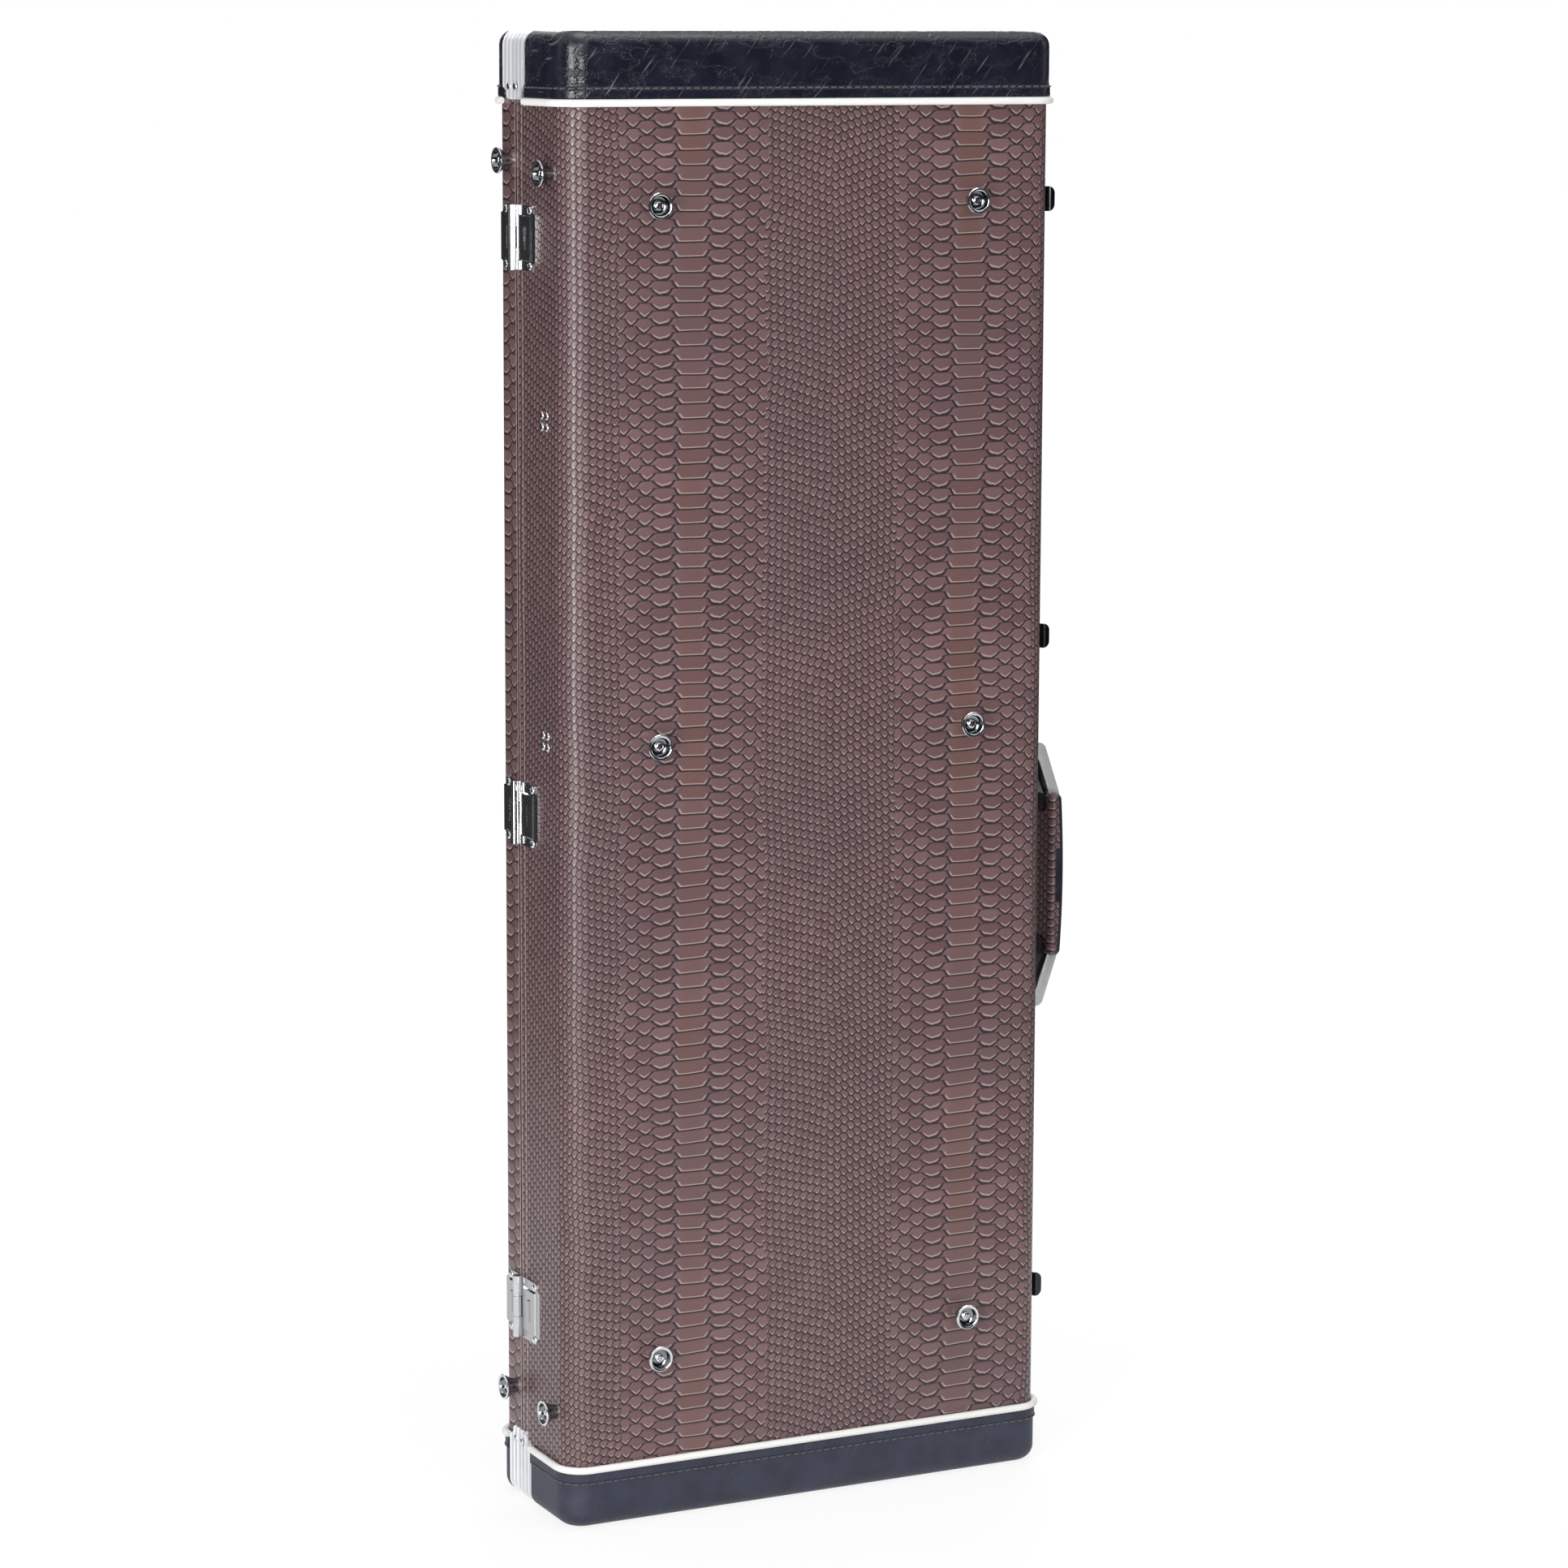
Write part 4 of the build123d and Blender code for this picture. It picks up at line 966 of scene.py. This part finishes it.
class GUITARCASE_OT_ferrules(bpy.types.Operator):
    """Clasp the ends of the grip between satin side plates with rounded tips."""

    bl_idname = "guitar_case.ferrules"
    bl_label = "Grip ferrules"

    def execute(self, context):
        low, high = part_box("handle_grip")
        middle = (low + high) / 2
        for end, name in ((1, "upper"), (-1, "lower")):
            ferrule = joined([self.plate(middle, end, side) for side in (-1, 1)])
            dress(ferrule, "grip_ferrule_" + name, "handle", "strap_metal", "satin_strap", "dark_nickel_and_painted_shade", angle=35)
        return {"FINISHED"}

    def plate(self, middle, end, side):
        """One side plate, drawn as a slanted outline, given its thickness and rounded; its inner face is dark with
        painted shade.
        """
        strap_low, strap_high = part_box("handle_upper_strap")
        width = (strap_high.y - strap_low.y - FERRULE_THICKNESS) / 2
        bpy.ops.mesh.primitive_circle_add(vertices=len(FERRULE_OUTLINE), radius=0.01, fill_type="NGON")
        plate = bpy.context.object
        for vertex, (out, along) in zip(plate.data.vertices, FERRULE_OUTLINE):
            vertex.co = (latch_wall + out, middle.y + side * width, middle.z + end * along)
        wall = plate.modifiers.new("thickness", "SOLIDIFY")
        wall.thickness = FERRULE_THICKNESS
        wall.offset = 0.0
        bevel = plate.modifiers.new("round", "BEVEL")
        bevel.width = FERRULE_BEVEL
        bevel.segments = 2
        apply_all(plate)
        settle(plate)
        # Inner faces dark nickel: painted shade between the plates
        two_finishes(plate, "satin_strap", "dark_nickel_and_painted_shade", lambda face: face.normal.y * side < -0.5)
        return plate


class GUITARCASE_OT_padding(bpy.types.Operator):
    """Upholster the pads, cross walls and cradle."""

    bl_idname = "guitar_case.padding"
    bl_label = "Padding"

    def execute(self, context):
        voxel = context.scene.guitar_case.pad_voxel
        for node in ("floor_pad", "body_well_pad", "neck_cradle", "cross_wall_lower", "cross_wall_upper"):
            self.upholster(node, "base", voxel)
        self.upholster("lid_pad", "lid", voxel)
        return {"FINISHED"}

    def upholster(self, node, body, voxel):
        """Plush pad that swells in the space of its solid, with soft edges."""
        pad = bpy.data.objects.new(node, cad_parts[node].data.copy())
        bpy.context.scene.collection.objects.link(pad)
        settle(pad)
        remesh = pad.modifiers.new("remesh", "REMESH")
        remesh.mode = "VOXEL"
        remesh.voxel_size = voxel if node.startswith(("floor", "lid", "body")) else voxel * FINE_VOXEL_SHARE
        shrink = pad.modifiers.new("shrink", "DISPLACE")
        shrink.strength = -PAD_SHRINK
        shrink.mid_level = 0.0
        soften = pad.modifiers.new("soften", "SMOOTH")
        soften.iterations = 4
        apply_all(pad)
        self.inflate(pad)
        smooth = pad.modifiers.new("smooth", "SUBSURF")
        smooth.levels = 1
        smooth.render_levels = 1
        apply_all(pad)
        dress(pad, node + "_plush", body, "plush", "plush", angle=80, replaces=(node,))

    def inflate(self, pad):
        """Blow the pad up a little as cloth, and keep each point near where it began."""
        choose(pad)
        start = [vertex.co.copy() for vertex in pad.data.vertices]
        cloth = pad.modifiers.new("cloth", "CLOTH")
        cloth.settings.use_pressure = True
        cloth.settings.uniform_pressure_force = PAD_PRESSURE
        cloth.settings.effector_weights.gravity = 0.0
        for step in range(1, PAD_FRAMES + 1):
            bpy.context.scene.frame_set(step)
        apply_all(pad)
        bpy.context.scene.frame_set(1)
        for vertex, first in zip(pad.data.vertices, start):
            moved = vertex.co - first
            if moved.length > PAD_SWELL:
                vertex.co = first + moved.normalized() * PAD_SWELL


class GUITARCASE_OT_stage(bpy.types.Operator):
    """Set the floor, the backdrop, the lights and the photograph's camera."""

    bl_idname = "guitar_case.stage"
    bl_label = "Stage"

    def execute(self, context):
        self.floor()
        self.world(context.scene)
        self.lights()
        self.camera(context.scene)
        context.scene.view_settings.view_transform = "Standard"
        return {"FINISHED"}

    def floor(self):
        """Pale floor: white to the camera away from the case, and to mirrors bright near the case and dark far off."""
        material, tree, shader = new_material("floor")
        shader.inputs["Base Color"].default_value = (0.86, 0.86, 0.86, 1.0)
        shader.inputs["Roughness"].default_value = 0.9
        glow = add(tree, "Emission", {"Color": WHITE, "Strength": FLOOR_GLOW}).outputs[0]
        path = add(tree, "LightPath").outputs
        spot = parts(tree, place(tree))
        squares = maths(tree, "ADD", maths(tree, "POWER", spot[0], 2.0), maths(tree, "POWER", spot[1], 2.0))
        radius = maths(tree, "SQRT", squares)
        far = ramp(tree, radius, 0.3, 1.6, 0.8, 1.0)
        factor = maths(tree, "MULTIPLY", path["Is Camera Ray"], far)
        reflected = ramp(tree, radius, 0.8, 1.9, 0.85, 0.05)
        mirrored = add(tree, "Emission", {"Color": WHITE, "Strength": reflected}).outputs[0]
        plain = add(tree, "MixShader", {0: path["Is Glossy Ray"], 1: shader.outputs[0], 2: mirrored}).outputs[0]
        mix = add(tree, "MixShader", {0: factor, 1: plain, 2: glow}).outputs[0]
        output = [item for item in tree.nodes if item.type == "OUTPUT_MATERIAL"][0]
        tree.links.new(mix, output.inputs[0])
        bpy.ops.mesh.primitive_plane_add(size=FLOOR_SIZE)
        floor = bpy.context.object
        floor.name = "floor"
        floor.data.materials.append(material)

    def world(self, scene):
        """White to the camera, bright and dark panels to mirrors, and a plain soft light for the rest."""
        world = bpy.data.worlds.new("studio")
        scene.world = world
        world.use_nodes = True
        tree = world.node_tree
        tree.nodes.clear()
        path = add(tree, "LightPath").outputs
        way = parts(tree, add(tree, "TexCoord").outputs["Generated"])
        bearing = maths(tree, "ARCTAN2", way[0], way[1])
        turned_way = maths(tree, "ADD", maths(tree, "MULTIPLY", bearing, PANEL_COUNT), PANEL_TURN)
        panel = ramp(tree, maths(tree, "SINE", turned_way), 0.7, 0.9)
        overhead = ramp(tree, way[2], 0.5, 0.6)
        tall = maths(tree, "MULTIPLY", panel, ramp(tree, way[2], -0.1, 0.05))
        bright = maths(tree, "MAXIMUM", tall, overhead)
        mirrored = mixed(tree, bright, opaque(MIRRORED_DARK), WHITE)
        soft = add(tree, "Background", {"Color": opaque(SOFT_COLOUR), "Strength": SOFT_POWER}).outputs[0]
        sideways, ahead = [maths(tree, "MULTIPLY", way[axis], SLIT_WAY[axis]) for axis in (0, 1)]
        toward = maths(tree, "ADD", sideways, ahead)
        slit = maths(tree, "MULTIPLY", ramp(tree, toward, 0.985, 0.994), ramp(tree, way[2], -0.12, 0.0))
        power = maths(tree, "ADD", maths(tree, "MULTIPLY", slit, SLIT_POWER), PANEL_POWER)
        studio = add(tree, "Background", {"Color": mirrored, "Strength": power}).outputs[0]
        white = add(tree, "Background", {"Color": WHITE, "Strength": 1.0}).outputs[0]
        lit = add(tree, "MixShader", {0: path["Is Glossy Ray"], 1: soft, 2: studio}).outputs[0]
        seen = maths(tree, "MAXIMUM", path["Is Camera Ray"], path["Is Transmission Ray"])
        mix = add(tree, "MixShader", {0: seen, 1: lit, 2: white}).outputs[0]
        output = tree.nodes.new("ShaderNodeOutputWorld")
        tree.links.new(mix, output.inputs[0])

    def lights(self):
        """Large soft panels: tall key at the left, fill in front, one above and one behind."""
        for name, spot, size, power in LIGHTS:
            bpy.ops.object.light_add(type="AREA", location=spot)
            lamp = bpy.context.object
            lamp.name = name
            lamp.data.shape = "RECTANGLE"
            lamp.data.size, lamp.data.size_y = size
            lamp.data.energy = power
            lamp.rotation_euler = (LIGHT_TARGET - Vector(spot)).to_track_quat("-Z", "Y").to_euler()

    def camera(self, scene):
        """Camera that matches the photograph's view."""
        forward = Vector((
            math.sin(CAMERA_YAW) * math.cos(CAMERA_PITCH),
            math.cos(CAMERA_YAW) * math.cos(CAMERA_PITCH),
            math.sin(CAMERA_PITCH),
        ))
        level = Vector((math.cos(CAMERA_YAW), -math.sin(CAMERA_YAW), 0))
        above = level.cross(forward)
        right = level * math.cos(CAMERA_ROLL) + above * math.sin(CAMERA_ROLL)
        up = above * math.cos(CAMERA_ROLL) - level * math.sin(CAMERA_ROLL)
        data = bpy.data.cameras.new("camera")
        data.sensor_width = CAMERA_SENSOR
        data.lens = CAMERA_LENS
        data.shift_y = CAMERA_SHIFT
        data.clip_end = 50
        camera = bpy.data.objects.new("camera", data)
        scene.collection.objects.link(camera)
        turn = Matrix((right, up, -forward)).transposed().to_4x4()
        camera.matrix_world = Matrix.Translation(CAMERA_PLACE) @ turn
        scene.camera = camera


class GUITARCASE_PT_panel(bpy.types.Panel):
    """Lists the case's pieces and sizes."""

    bl_idname = "GUITARCASE_PT_panel"
    bl_label = "Guitar case"
    bl_space_type = "VIEW_3D"
    bl_region_type = "UI"
    bl_category = "Guitar case"

    def draw(self, context):
        settings = context.scene.guitar_case
        for name in CaseSettings.__annotations__:
            self.layout.prop(settings, name)
        for operator in OPERATORS:
            self.layout.operator(operator.bl_idname)


OPERATORS = (
    GUITARCASE_OT_shells,
    GUITARCASE_OT_caps,
    GUITARCASE_OT_piping,
    GUITARCASE_OT_feet,
    GUITARCASE_OT_rivets,
    GUITARCASE_OT_hardware,
    GUITARCASE_OT_grip,
    GUITARCASE_OT_ferrules,
    GUITARCASE_OT_padding,
    GUITARCASE_OT_stage,
)
CLASSES = (CaseSettings, *OPERATORS, GUITARCASE_PT_panel)


def register():
    """Register the classes and the case's settings."""
    for item in CLASSES:
        bpy.utils.register_class(item)
    bpy.types.Scene.guitar_case = PointerProperty(type=CaseSettings)


def unregister():
    """Undo register."""
    del bpy.types.Scene.guitar_case
    for item in reversed(CLASSES):
        bpy.utils.unregister_class(item)


def main():
    """Finish every piece and set the stage."""
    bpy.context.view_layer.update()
    register()
    deselect()
    build_materials()
    bpy.ops.guitar_case.shells()
    bpy.ops.guitar_case.caps()
    bpy.ops.guitar_case.piping()
    bpy.ops.guitar_case.feet()
    bpy.ops.guitar_case.rivets()
    bpy.ops.guitar_case.hardware()
    bpy.ops.guitar_case.grip()
    bpy.ops.guitar_case.ferrules()
    bpy.ops.guitar_case.padding()
    bpy.ops.guitar_case.stage()


if __name__ == "__main__":
    main()
